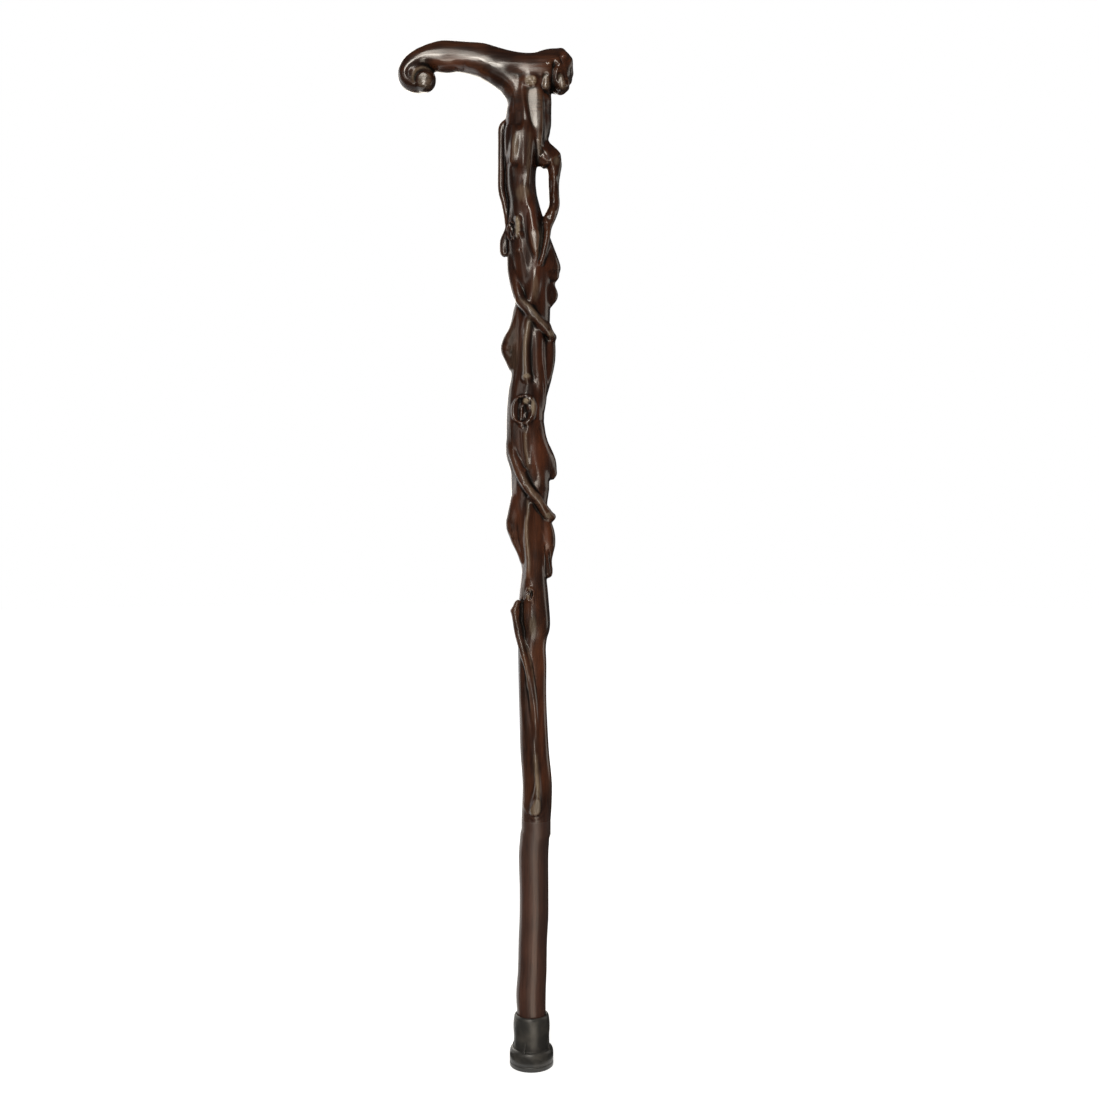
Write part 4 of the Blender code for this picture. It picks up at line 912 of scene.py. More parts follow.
# Spots where the lacquer is worn dull: how much gloss is left, then as above.
dullSpots = {
    "scrollRim": (0.15, 14.0, 9.0, -108, 640),
    "scrollGroove": (0.05, 6.4, 12.0, -105, 649),
    "throatA": (0.0, 11.0, 8.0, -43, 652),
    "throatB": (0.0, 10.0, 9.0, -32, 646),
    "throatC": (0.0, 7.0, 13.0, -22, 634),
    "neckLeft": (0.0, 5.4, 26.0, -7.5, 628),
    "neckRight": (0.25, 3.4, 24.0, 14, 617),
    "headFront": (0.0, 14.0, 9.0, -17, 654),
    "fingerTop": (0.1, 8.5, 9.0, -8, 604),
    "fingerRight": (0.15, 3.4, 14.0, -7, 588),
    "aboveBelly": (0.05, 10.0, 11.0, -9, 568),
    "underBelly": (0.3, 8.0, 7.0, -9, 535),
    "tongueLeft": (0.1, 7.0, 26.0, -4, 495),
    "bellyFront": (0.25, 7.0, 10.0, -8, 547),
    "swellFront": (0.0, 6.4, 17.0, 3, 464),
    "lowFront": (0.1, 7.0, 16.0, 0, 172),
    "vineBend": (0.3, 4.0, 6.0, -6, 295),
    "tongueEnd": (0.15, 6.0, 6.0, 4, 484),
    "vineTop": (0.1, 6.0, 16.0, -12, 472),
    "underVine": (0.2, 5.0, 5.0, -7, 440),
    "ridgeRight": (0.15, 5.0, 34.0, 5, 406),
    "aboveKnot": (0.3, 3.4, 6.0, -4, 377),
    "underKnot": (0.15, 8.0, 20.0, -1, 328),
    "moundFront": (0.1, 8.0, 26.0, 4, 321),
    "leftFlank": (0.15, 8.0, 32.0, -17, 324),
    "leafHollow": (0.15, 5.0, 16.0, -11, 308),
    "aboveBead": (0.1, 6.0, 12.0, -0.5, 214),
    "underBead": (0.1, 4.0, 8.0, -1, 188),
    "rootSide": (0.3, 3.0, 24.0, 3, 148),
    "rootEnd": (0.1, 4.5, 11.0, 2.6, 77),
    "stubLeft": (0.1, 2.6, 14.0, 0, 22),
    "leftFoot": (0.5, 4.0, 60.0, -8, 50),
}
# Spots of painted light, where the wood is painted a lighter red-brown: how strongly, then as
# above.
paintedLightSpots = {
    "belly": (0.9, 9.0, 24.0, 0, 530),
    "rightHigh": (0.6, 9.0, 36.0, 9, 478),
    "rightMiddle": (0.6, 8.0, 34.0, 11, 405),
    "besideKnot": (0.6, 7.0, 14.0, 5, 356),
    "rightMound": (1.0, 11.0, 24.0, 8, 318),
    "spurTop": (0.7, 6.0, 20.0, -14, 276),
    "rightRoot": (0.6, 7.0, 22.0, 13, 246),
    "rightLow": (0.6, 7.0, 80.0, 10, 110),
    "rightFoot": (0.35, 8.0, 24.0, 9, 36),
    "barLow": (0.8, 26.0, 5.0, -70, 662),
    "burlNose": (0.9, 4.0, 5.0, 28, 668),
}

# Curves and tubes.


def smoothPath(points, steps):
    points = np.array(points, float)
    padded = np.vstack([points[:1], points, points[-1:]])
    t = (np.arange(steps) / steps)[:, None]
    rows = []
    for before, start, end, after in zip(padded, padded[1:], padded[2:], padded[3:]):
        leave, arrive = (end - before) / 2, (after - start) / 2
        rows.append(
            (2 * t**3 - 3 * t**2 + 1) * start
            + (t**3 - 2 * t**2 + t) * leave
            + (3 * t**2 - 2 * t**3) * end
            + (t**3 - t**2) * arrive
        )
    return np.vstack([*rows, points[-1:]])


carvedLength = levels["carvedHead"] - levels["carvedFoot"]
trunkTable = smoothPath(
    (
        (0.0, joint["x"], joint["radius"], joint["radius"]),
        *trunkStations,
        (carvedLength, neck["x"], neck["halfWidth"], neck["halfDepth"]),
    ),
    6,
)


def trunkAt(mark):  # centre x, half width and half depth at a height above the carved foot
    return [np.interp(mark, trunkTable[:, 0], trunkTable[:, column]) for column in (1, 2, 3)]


def onTrunk(mark, bearing, rise):
    x, halfWidth, halfDepth = trunkAt(mark)
    angle = np.radians(bearing)
    out = np.stack([np.sin(angle), -np.cos(angle)])
    across, front = x + out[0] * (halfWidth + rise), out[1] * (halfDepth + rise)
    return np.stack([across, front, levels["carvedFoot"] + mark], axis=-1)


def roundEnds(path):  # adds three smaller rings at each end, so that a tube ends in a dome
    ends = []
    for end, inner in ((path[0], path[1]), (path[-1], path[-2])):
        along = (end[:3] - inner[:3]) / np.linalg.norm(end[:3] - inner[:3])
        cap = []
        for angle in np.radians((35.0, 62.0, 80.0)):
            cap.append([*(end[:3] + along * end[3] * math.sin(angle)), end[3] * math.cos(angle)])
        ends.append(cap)
    return np.vstack([ends[0][::-1], path, ends[1]])


def sidePath(points):
    marks, bearings, rises, radii = smoothPath(points, carving["spanSteps"]).T
    return np.column_stack([onTrunk(marks, bearings, rises), radii])


def frontPath(points):
    marks, places, rises, radii = smoothPath(points, carving["spanSteps"]).T
    x, halfWidth, _ = trunkAt(marks)
    bearings = np.degrees(np.arcsin(np.clip((places - x) / (halfWidth + rises), -0.98, 0.98)))
    return np.column_stack([onTrunk(marks, bearings, rises), radii])


def knotPath(knot):
    mark, bearing, halfWidth, halfHeight, radius = knot
    swing = math.degrees(halfWidth / trunkAt(mark)[1])
    turn = np.linspace(0.0, math.tau, carving["knotSteps"], endpoint=False)
    places = onTrunk(mark + halfHeight * np.sin(turn), bearing + swing * np.cos(turn), 0.2 * radius)
    return np.column_stack([places, np.full(len(turn), radius)])


def branchPath(points):
    path = smoothPath(points, carving["spanSteps"])
    path[:, 2] += levels["carvedFoot"]
    return path


def turnedPath():
    foot = levels["ferruleTop"]
    height = nodeBox("lower_shaft")[1][2] - foot
    radius = turnedShaft["radius"]
    stations = [(0.0, 0.0, foot, radius)]
    for share, drift, factor in turnedShaft["stations"]:
        stations.append((drift * joint["x"], 0.0, foot + share * height, factor * radius))
    for past in (0.0, turnedShaft["overlap"]):
        stations.append((joint["x"], 0.0, foot + height + past, joint["radius"]))
    end = levels["shaftEnd"]
    chamfer = turnedShaft["endChamfer"]
    tip = [(0.0, 0.0, end, radius - chamfer), (0.0, 0.0, end + chamfer, radius)]
    return np.vstack([tip, smoothPath(stations, carving["spanSteps"])])


def socketOf(tree, name):
    for item in tree.interface.items_tree:
        if item.name == name and item.in_out == "INPUT":
            return item.identifier
    raise KeyError(name)


def newTree(name, inputs, result):  # a node group with its inputs as signals
    tree = bpy.data.node_groups.new(name, "GeometryNodeTree")
    for label, kind in inputs:
        tree.interface.new_socket(label, in_out="INPUT", socket_type="NodeSocket" + kind)
    tree.interface.new_socket(result, in_out="OUTPUT", socket_type="NodeSocketGeometry")
    given = tree.nodes.new("NodeGroupInput")
    return tree, [Signal(tree, given.outputs[label]) for label, _ in inputs]


def finishTree(start, shape, material):  # real faces in the material, as the tree's result
    real = start.node("GeometryNodeRealizeInstances", inputs={"Geometry": shape})
    painted = start.node("GeometryNodeSetMaterial", inputs={"Geometry": real, "Material": material})
    start.node("NodeGroupOutput", inputs={0: painted})


def tubeTree():  # wraps a round tube round every path, as thick as the path's own radius says
    inputs = (("Paths", "Geometry"), ("Sides", "Int"), ("Wood", "Material"))
    tree, (paths, sides, wood) = newTree("tubeAlongPaths", inputs, "Tubes")
    start = Signal(tree)
    curves = start.node("GeometryNodeMeshToCurve", inputs={"Mesh": paths})
    thickness = start.node(
        "GeometryNodeInputNamedAttribute",
        {"data_type": "FLOAT"},
        {"Name": "tubeRadius"},
        output="Attribute",
    )
    section = start.node(
        "GeometryNodeCurvePrimitiveCircle", inputs={"Resolution": sides, "Radius": 1.0}
    )
    tubes = start.node(
        "GeometryNodeCurveToMesh",
        inputs={"Curve": curves, "Profile Curve": section, "Scale": thickness, "Fill Caps": True},
    )
    finishTree(start, tubes, wood)
    return tree


def grownMesh(obj, name):  # the mesh that an object's modifiers make
    bpy.context.view_layer.update()
    evaluated = obj.evaluated_get(bpy.context.evaluated_depsgraph_get())
    mesh = bpy.data.meshes.new_from_object(evaluated)
    mesh.name = name
    return mesh


def tubesFrom(paths, closedPaths, wood):
    places, links, radii = [], [], []
    for path, closed in [(path, False) for path in paths] + [(path, True) for path in closedPaths]:
        first = len(places)
        places += [tuple(row[:3] * mm) for row in path]
        radii += [row[3] * mm for row in path]
        last = len(places)
        links += [(index, index + 1) for index in range(first, last - 1)]
        if closed:
            links.append((last - 1, first))
    mesh = bpy.data.meshes.new("strandPaths")
    mesh.from_pydata(places, links, [])
    mesh.attributes.new("tubeRadius", "FLOAT", "POINT").data.foreach_set("value", radii)
    obj = bpy.data.objects.new("strandPaths", mesh)
    scene.collection.objects.link(obj)
    tree = tubeTree()
    modifier = obj.modifiers.new("tubes", "NODES")
    modifier.node_group = tree
    modifier[socketOf(tree, "Sides")] = carving["strandSides"]
    modifier[socketOf(tree, "Wood")] = wood
    grown = grownMesh(obj, "strandTubes")
    bpy.data.objects.remove(obj)
    return grown


def addBar(bm, stations, foot, sides=carving["barSides"], squareness=2.0, taper=0.0):
    # Tube with an oval, squarish or egg-shaped section through stations of x, height, half
    # height and half depth.
    rings = []
    path = smoothPath(stations, carving["spanSteps"])
    centres = np.column_stack([path[:, 0], np.zeros(len(path)), path[:, 1] + foot])
    for index, (centre, row) in enumerate(zip(centres, path)):
        along = centres[min(index + 1, len(path) - 1)] - centres[max(index - 1, 0)]
        along /= np.linalg.norm(along)
        across = np.cross(along, (0.0, 1.0, 0.0))
        ring = []
        for step in range(sides):
            angle = math.tau * step / sides
            c, s = math.cos(angle), math.sin(angle)
            c = math.copysign(abs(c) ** (2.0 / squareness), c)
            s = math.copysign(abs(s) ** (2.0 / squareness), s) * (1.0 + taper * c)
            place = centre + across * (row[2] * c) + np.array((0.0, row[3] * s, 0.0))
            ring.append(bm.verts.new(place * mm))
        rings.append(ring)
    for first, second in zip(rings, rings[1:]):
        for step in range(sides):
            after = (step + 1) % sides
            bm.faces.new((first[step], first[after], second[after], second[step]))
    bm.faces.new(rings[0][::-1])
    bm.faces.new(rings[-1])


def trunkBar():
    shift, share = neck["trunkEnd"]
    end = carvedLength + neck["overlap"][0]
    rows = [
        (-joint["overlap"], joint["x"], joint["radius"], joint["radius"]),
        *trunkTable,
        (end, neck["x"] + shift, neck["halfWidth"] * share, neck["halfDepth"]),
    ]
    return [(row[1], row[0], row[2], row[3]) for row in rows]


def neckBar():
    rows = []
    for height in (-neck["overlap"][1], 0.0):
        rows.append((neck["x"], height, neck["halfWidth"], neck["halfDepth"]))
    for x, height, widthShare, depthShare in neck["stations"]:
        rows.append((x, height, neck["halfWidth"] * widthShare, neck["halfDepth"] * depthShare))
    return rows


def addBall(bm, x, y, height, halfWidth, halfDepth):
    matrix = Matrix.Translation(Vector((x, y, levels["handleFoot"] + height)) * mm)
    matrix @= Matrix.Diagonal((halfWidth * mm, halfDepth * mm, halfWidth * mm, 1.0))
    bmesh.ops.create_icosphere(bm, subdivisions=4, radius=1.0, matrix=matrix)


def rootForms():
    # Every form on the trunk: how softly it melts in, how deep its crease is, and its path.
    forms = []
    for toPath, roots in ((frontPath, frontRoots), (sidePath, sideRoots)):
        for softness, crease, points in roots.values():
            forms.append((softness, crease, roundEnds(toPath(points))))
    for points in (branch, branchStub):
        forms.append((*carving["branchMelt"], roundEnds(branchPath(points))))
    return forms


def rawWood(wood, forms, rims):  # overlapping tubes, bars and balls of the whole wood
    tubes = tubesFrom([form[2] for form in forms] + [turnedPath()], rims, wood)
    bm = bmesh.new()
    bm.from_mesh(tubes)
    foot, squareness = levels["handleFoot"], grip["squareness"]
    addBar(bm, trunkBar(), levels["carvedFoot"], sides=carving["trunkSides"])
    addBar(bm, neckBar(), foot, sides=carving["trunkSides"])
    addBar(bm, grip["stations"], foot, squareness=squareness, taper=grip["taper"])
    addBar(bm, grip["throat"], foot, squareness=squareness)
    for x, y, height, halfWidth, halfDepth in grip["scrollEyes"]:
        addBall(bm, x, y, height, halfWidth, halfDepth)
    for x, y, height, radius in grip["lumps"].values():
        addBall(bm, x, y, height, radius, radius)
    bmesh.ops.recalc_face_normals(bm, faces=bm.faces)
    bm.to_mesh(tubes)
    bm.free()
    return tubes


def oneSkin(mesh):  # turns overlapping forms into one closed skin with even faces
    obj = bpy.data.objects.new("woodBlank", mesh)
    scene.collection.objects.link(obj)
    remesh = obj.modifiers.new("oneSkin", "REMESH")
    remesh.mode = "VOXEL"
    remesh.voxel_size = carving["voxel"] * mm
    skin = grownMesh(obj, "woodSkin")
    bpy.data.objects.remove(obj)
    return skin


# Sculpting on arrays of points, in millimetres.


def readPlaces(mesh):
    places = np.empty(len(mesh.vertices) * 3)
    mesh.vertices.foreach_get("co", places)
    return places.reshape(-1, 3) / mm


def writePlaces(mesh, places):
    mesh.vertices.foreach_set("co", (places * mm).ravel())
    mesh.update()


def readNormals(mesh):
    normals = np.empty(len(mesh.vertices) * 3)
    mesh.vertex_normals.foreach_get("vector", normals)
    return normals.reshape(-1, 3)


def readEdges(mesh):
    ends = np.empty(len(mesh.edges) * 2, int)
    mesh.edges.foreach_get("vertices", ends)
    return ends.reshape(-1, 2)


def relax(values, edges, rounds, factor=0.5):  # the factor may differ from point to point
    values = values.copy()
    count = len(values)
    ends = np.concatenate([edges[:, 0], edges[:, 1]])
    others = np.concatenate([edges[:, 1], edges[:, 0]])
    degree = np.maximum(np.bincount(ends, minlength=count), 1)
    for _ in range(rounds):
        for axis in range(values.shape[1]):
            mean = np.bincount(ends, weights=values[others, axis], minlength=count) / degree
            values[:, axis] += factor * (mean - values[:, axis])
    return values


def nearestOnPath(places, path):
    # Distance to a path, and how far along it the nearest point lies, in whole steps and shares.
    best = np.full(len(places), np.inf)
    along = np.zeros(len(places))
    for index in range(len(path) - 1):
        start, span = path[index], path[index + 1] - path[index]
        reach = max(float(span @ span), 1e-9)
        t = np.clip(((places - start) @ span) / reach, 0.0, 1.0)
        distance = np.linalg.norm(places - start - t[:, None] * span, axis=1)
        closer = distance < best
        best[closer] = distance[closer]
        along[closer] = index + t[closer]
    return best, along


def waves(places, seed, cells=32):  # smooth noise between -1 and 1
    table = np.random.default_rng(seed).uniform(-1.0, 1.0, (cells, cells, cells))
    cell = np.floor(places).astype(int)
    share = places - cell
    share = share * share * (3 - 2 * share)
    total = np.zeros(len(places))
    for corner in np.ndindex(2, 2, 2):
        weight = np.prod(np.where(corner, share, 1 - share), axis=1)
        x, y, z = ((cell + corner) % cells).T
        total += weight * table[x, y, z]
    return total


def step(values, low, high):  # 0 below low, 1 above high
    t = np.clip((values - low) / (high - low), 0.0, 1.0)
    return t * t * (3 - 2 * t)


def carvedShare(mark, name):  # 1 on the carved shaft, 0 past its ends
    foot, head = carvedFades[name]
    return step(mark, *foot) * (1 - step(mark, *head))


class Relief:  # the blank's points and how far each one is raised or cut
    def __init__(self, places):
        self.places = places
        self.rise = np.zeros(len(places))
        # how pale each point is painted: bare wood, and painted highlights and sheen
        self.bareAndSheen = np.zeros(len(places))
        self.gloss = np.ones(len(places))
        # how strongly light is painted on as a red-brown glow
        self.glow = np.zeros(len(places))
        self.mark = places[:, 2] - levels["carvedFoot"]
        self.x = places[:, 0] - trunkAt(np.clip(self.mark, 0.0, carvedLength))[0]
        self.y = places[:, 1]
        self.height = places[:, 2] - levels["handleFoot"]
        self.front = np.arctan2(self.x, -self.y) * carving["unrollRadius"]
        self.back = np.arctan2(self.x, self.y) * carving["unrollRadius"]


def unrolled(points):  # turns x into the way round the trunk, as seen from the front or the back
    rows = []
    for x, mark in points:
        centre, halfWidth, _ = trunkAt(mark)
        share = max(-0.97, min(0.97, (x - centre) / (halfWidth + 1.5)))
        rows.append((math.asin(share) * carving["unrollRadius"], mark))
    return np.array(rows)


def drawStroke(relief, across, up, side, points, height, width):
    path = smoothPath(points, carving["strokeSteps"])
    reach = 3.5 * width
    near = side & (up > path[:, 1].min() - reach) & (up < path[:, 1].max() + reach)
    near &= (across > path[:, 0].min() - reach) & (across < path[:, 0].max() + reach)
    near = np.flatnonzero(near)
    if not len(near):
        return
    distance, along = nearestOnPath(np.column_stack([across[near], up[near]]), path)
    ends = np.sin(np.pi * np.clip(along / (len(path) - 1), 0.06, 0.94)) ** 0.6
    relief.rise[near] += height * ends * np.exp(-((distance / width) ** 1.5))


def pressDab(relief, across, up, side, height, halfWidth, halfHeight, x, mark):
    reach = ((across - x) / halfWidth) ** 2 + ((up - mark) / halfHeight) ** 2
    near = side & (reach < 6.0)
    relief.rise[near] += height * np.exp(-(reach[near] ** 1.2))


def drawMarks(relief, across, up, side, strokes, dabs, placed=np.array):
    # Every stroke and dab of a side; placed says where its points lie on it.
    for rise, width, points in strokes.values():
        drawStroke(relief, across, up, side, placed(points), rise, width)
    for rise, halfWidth, halfHeight, *spot in dabs.values():
        pressDab(relief, across, up, side, rise, halfWidth, halfHeight, *placed([spot])[0])


def flatten(relief, near, share, plane, limit):
    push = np.clip(relief.y[near] - plane, -limit, limit)
    relief.rise[near] = relief.rise[near] * (1 - share) + share * push


def cutFacet(relief, up, facet):
    x, level, halfWidth, halfHeight, lean, taper, turn, tilt, depth, dome, bareAndSheen = facet
    rise = up - level
    aside = relief.places[:, 0] - x - lean * rise
    width = halfWidth * np.clip(1 + taper * rise / halfHeight, 0.2, 1.8)
    reach = (np.abs(aside / width) ** 3 + np.abs(rise / halfHeight) ** 3) ** (1 / 3)
    near = np.flatnonzero((relief.y < -2.0) & (reach < 1.35))
    reach, rise, aside = reach[near], rise[near], aside[near]
    middle = relief.y[near][reach < 0.35].mean() + depth
    plane = middle - aside * math.tan(math.radians(turn)) + rise * math.tan(math.radians(tilt))
    limit = 1.0 + 0.06 * halfHeight
    flatten(relief, near, 1 - step(reach, 0.65, 1.3), plane + dome * reach**2, limit)
    # the cut is painted pale: bare end grain on the stub, a painted highlight on the others
    relief.bareAndSheen[near] = np.maximum(relief.bareAndSheen[near], bareAndSheen * (1 - step(reach, 0.75, 0.95)))


def drawCrest(relief, crest):
    halfWidth, height, bareAndSheen, points = crest
    path = smoothPath(points, carving["strokeSteps"])
    low, high = path.min(axis=0) - 3 * halfWidth, path.max(axis=0) + 3 * halfWidth
    spot = np.column_stack([relief.places[:, 0], relief.mark])
    near = np.flatnonzero((relief.y < -2.0) & np.all((spot > low) & (spot < high), axis=1))
    distance, along = nearestOnPath(spot[near], path)
    share = np.sin(np.pi * np.clip(along / (len(path) - 1), 0.04, 0.96)) ** 0.5
    share *= np.exp(-((distance / halfWidth) ** 2))
    relief.rise[near] += height * share
    # painted highlight along the crest
    relief.bareAndSheen[near] = np.maximum(relief.bareAndSheen[near], bareAndSheen * share)


def spotShare(relief, halfWidth, halfHeight, x, level, soft):
    reach = np.hypot((relief.places[:, 0] - x) / halfWidth, (relief.mark - level) / halfHeight)
    return (1 - step(reach, 1.1 - soft, 1.1)) * (relief.y < 0.0)


def trunkGap(places):  # distance outside the bare trunk
    mark = np.clip(places[:, 2] - levels["carvedFoot"], 0.0, carvedLength)
    centre, halfWidth, halfDepth = trunkAt(mark)
    x, y = places[:, 0] - centre, places[:, 1]
    reach = np.maximum(np.hypot(x, y), 1e-6)
    return reach - 1.0 / np.hypot(x / reach / halfWidth, y / reach / halfDepth)


def beside(places, path, margin):  # indices of the points whose height is near a path's
    above = places[:, 2] > (path[:, 2] - path[:, 3]).min() - margin
    return np.flatnonzero(above & (places[:, 2] < (path[:, 2] + path[:, 3]).max() + margin))


def meltTogether(mesh, forms, rims):
    # Moves the skin out to where the forms flow into each other, as grown wood does.
    edges = readEdges(mesh)
    for _ in range(carving["meltRounds"]):
        places = readPlaces(mesh)
        mark = places[:, 2] - levels["carvedFoot"]
        field = trunkGap(places)
        for softness, _, path in [*forms, *((*carving["rimMelt"], rim) for rim in rims)]:
            near = beside(places, path, softness + 2.0)
            distance, along = nearestOnPath(places[near], path[:, :3])
            gap = distance - np.interp(along, np.arange(len(path)), path[:, 3])
            old = field[near]
            share = np.clip(0.5 + 0.5 * (old - gap) / softness, 0.0, 1.0)
            field[near] = old * (1 - share) + gap * share - softness * share * (1 - share)
        move = np.clip(field, -1.5, 1.0) * carvedShare(mark, "melt")
        places -= readNormals(mesh) * move[:, None]
        writePlaces(mesh, relax(places, edges, 1, 0.3))


def softenHandle(mesh):
    # Rounds off the joints between the handle's bars, and leaves the scroll's groove sharp.
    places = readPlaces(mesh)
    height = places[:, 2] - levels["handleFoot"]
    share = step(height, -14.0, 2.0) * (0.35 + 0.65 * step(places[:, 0], -80.0, -68.0))
    writePlaces(mesh, relax(places, readEdges(mesh), carving["handleRounds"], 0.5 * share))


def carveCreases(relief, forms, rims):
    # The skin sinks wherever two forms meet, so each root lies in its own crease.
    nearest = trunkGap(relief.places)
    own = np.full(len(nearest), 9.0)
    second = np.full(len(nearest), 99.0)
    other = np.zeros(len(nearest))
    for _, crease, path in [*forms, *((*carving["rimMelt"], rim) for rim in rims)]:
        near = beside(relief.places, path, 6.0)
        distance, along = nearestOnPath(relief.places[near], path[:, :3])
        gap = distance - np.interp(along, np.arange(len(path)), path[:, 3])
        closer = gap < nearest[near]
        oldGap, oldOwn = nearest[near], own[near]
        farther = ~closer & (gap < second[near])
        second[near] = np.where(closer, oldGap, np.where(farther, gap, second[near]))
        other[near] = np.where(closer, oldOwn, np.where(farther, crease, other[near]))
        nearest[near] = np.where(closer, gap, oldGap)
        own[near] = np.where(closer, crease, oldOwn)
    strength = np.minimum(own, other) * carvedShare(relief.mark, "creases")
    # In the crease both forms are about equally far, so their difference says how near it is.
    apart = np.maximum(second - np.minimum(nearest, second), 0.0) * 0.5
    deep = np.exp(-((apart / carving["creaseWidth"]) ** 1.3)) * (1 - step(nearest, 1.5, 3.5))
    relief.rise -= carving["creaseDepth"] * strength * deep


def carveKnot(relief, knot, seed):
    mark, bearing, halfWidth, halfHeight, rim = knot
    angle = np.arctan2(relief.x, -relief.y) - math.radians(bearing)
    angle = (angle + math.pi) % math.tau - math.pi
    a = angle * trunkAt(mark)[1] / halfWidth
    b = (relief.mark - mark) / halfHeight
    reach = np.hypot(a, b)
    turn = np.arctan2(b, a)
    near = reach < 2.6
    bowl = -min(1.9, 0.18 * halfWidth) * (1 - step(reach, 0.45, 1.0))
    ring = 0.10 * np.cos(reach * 13.0) * (1 - step(reach, 0.75, 1.0))
    wobble = waves(np.column_stack([np.cos(turn) * 1.7, np.sin(turn) * 1.7, reach * 1.3]), seed)
    wrinkle = 0.12 * np.sin(9.0 * turn + 2.6 * wobble) * np.exp(-(((reach - 1.0) / 0.45) ** 2))
    moat = -0.15 * np.exp(-(((reach - 1.0 - 1.15 * rim / halfWidth) / 0.14) ** 2))
    relief.rise[near] += (bowl + ring + wrinkle + moat)[near]


def carveScroll(relief):
    # A spiral groove round the eye on both sides of the scroll, deepest half way round.
    turn = np.linspace(*map(math.radians, scrollGroove["bearings"]), 24)
    radius = np.linspace(*scrollGroove["radii"], len(turn))
    x, height = scrollGroove["centre"]
    path = np.column_stack([x + radius * np.cos(turn), height + radius * np.sin(turn)])
    near = np.flatnonzero((relief.places[:, 0] < -70.0) & (relief.height > 5.0))
    across = np.column_stack([relief.places[near, 0], relief.height[near]])
    distance, along = nearestOnPath(across, path)
    depth = np.interp(along / (len(path) - 1), scrollGroove["shares"], scrollGroove["depths"])
    face = step(np.abs(relief.places[near, 1]), 5.0, 8.5)
    relief.rise[near] -= depth * face * np.exp(-((distance / scrollGroove["width"]) ** 1.8))


def noiseOf(name, places):  # a noise's height and its waves
    height, cell, seed = skinNoise[name]
    return height, waves(places / cell, seed)


def addNoise(relief):
    # Long undulations that run with the trunk and turn slowly round it, then finer cords.
    x, y, z = relief.x, relief.y, relief.places[:, 2]
    twist = z * 0.006
    sine, cosine = np.sin(twist), np.cos(twist)
    twisted = np.column_stack([x * cosine - y * sine, x * sine + y * cosine, z])
    swellHeight, swell = noiseOf("swell", twisted)
    cordHeight, cords = noiseOf("cords", twisted)
    fibreHeight, fibres = noiseOf("fibres", twisted)
    cords = 0.45 - np.abs(cords)
    total = swellHeight * swell + cordHeight * cords + fibreHeight * fibres
    relief.rise += carvedShare(relief.mark, "noise") * total
    onGrip = np.column_stack([relief.places[:, 0], relief.places[:, 1], relief.height])
    top = step(relief.mark, *carvedFades["noise"][1])
    burl = step(onGrip[:, 0], 10.0, 24.0) * step(relief.height, 14.0, 22.0)
    for name, share, places in (
        ("turnedShaft", 1 - step(relief.mark, -6.0, 2.0), twisted),
        ("handle", top, onGrip),
        ("handleGrain", top, onGrip),
        ("burl", burl, onGrip),
    ):
        height, noise = noiseOf(name, places)
        relief.rise += share * height * noise


def sculpt(relief, forms, rims):
    x, y, mark, height = relief.places[:, 0], relief.y, relief.mark, relief.height
    trunk = (mark > -20.0) & (mark < carvedLength + 10.0)
    handle = height > -30.0
    onBranch = (y < 2.0) & (x > 8.0) & (mark > 505.0) & (mark < 600.0)
    front, back = relief.front, relief.back
    carveCreases(relief, forms, rims)
    for number, knot in enumerate(knots.values()):
        carveKnot(relief, knot, 40 + number)
    drawMarks(relief, front, mark, trunk & (y < 3.0), frontStrokes, frontDabs, unrolled)
    drawMarks(relief, back, mark, trunk & (y > -3.0), backStrokes, backDabs, unrolled)
    drawMarks(relief, x, height, handle & (y < -3.0), handleFrontStrokes, handleFrontDabs)
    drawMarks(relief, x, height, handle & (y > 3.0), handleBackStrokes, handleBackDabs)
    for rise, size, across, level in burlEndDabs:
        pressDab(relief, y, height, x > 22.0, rise, size, size, across, level)
    drawMarks(relief, x, mark, onBranch, branchStrokes, branchDabs)
    carveScroll(relief)
    addNoise(relief)
    for up, facets in ((mark, shaftFacets), (height, handleFacets)):
        for facet in facets.values():
            cutFacet(relief, up, facet)
    drawMarks(relief, x, height, y < -3.0, {}, handlePits)
    for crest in paintedHighlightCrests.values():
        drawCrest(relief, crest)
    # pale spots: bare wood, and painted highlights and sheen
    for bareAndSheen, *spot in bareAndSheenSpots.values():
        relief.bareAndSheen = np.maximum(relief.bareAndSheen, bareAndSheen * spotShare(relief, *spot, 0.6))
    for gloss, *spot in dullSpots.values():
        relief.gloss = np.minimum(relief.gloss, 1 - (1 - gloss) * spotShare(relief, *spot, 0.9))
    # painted light: spots painted a lighter red-brown
    for glow, *spot in paintedLightSpots.values():
        relief.glow = np.maximum(relief.glow, glow * spotShare(relief, *spot, 1.0))


def keepInside(places):  # the visual model stays inside the CAD model's box
    margin = carving["boxMargin"]
    return np.clip(places, np.array(cadBox[0]) / mm + margin, np.array(cadBox[1]) / mm - margin)


def markRelief(mesh):
    # Stores how hollow (-) or raised (+) the skin is, at a fine and at a wide reach.
    places, normals, edges = readPlaces(mesh), readNormals(mesh), readEdges(mesh)

    def raised(rounds, full):
        return np.einsum("ij,ij->i", places - relax(places, edges, rounds), normals) / full

    value = 0.4 * raised(*carving["fineRelief"]) + 0.6 * raised(*carving["wideRelief"])
    value = np.clip(value, -1.0, 1.0)
    mesh.attributes.new("relief", "FLOAT", "POINT").data.foreach_set("value", value)
    return places, value


def thinned(mesh, triangles):
    obj = bpy.data.objects.new("woodThinned", mesh)
    scene.collection.objects.link(obj)
    thin = obj.modifiers.new("thin", "DECIMATE")
    thin.ratio = min(1.0, triangles / (2.0 * len(mesh.polygons)))
    lighter = grownMesh(obj, "woodLight")
    bpy.data.objects.remove(obj)
    return lighter


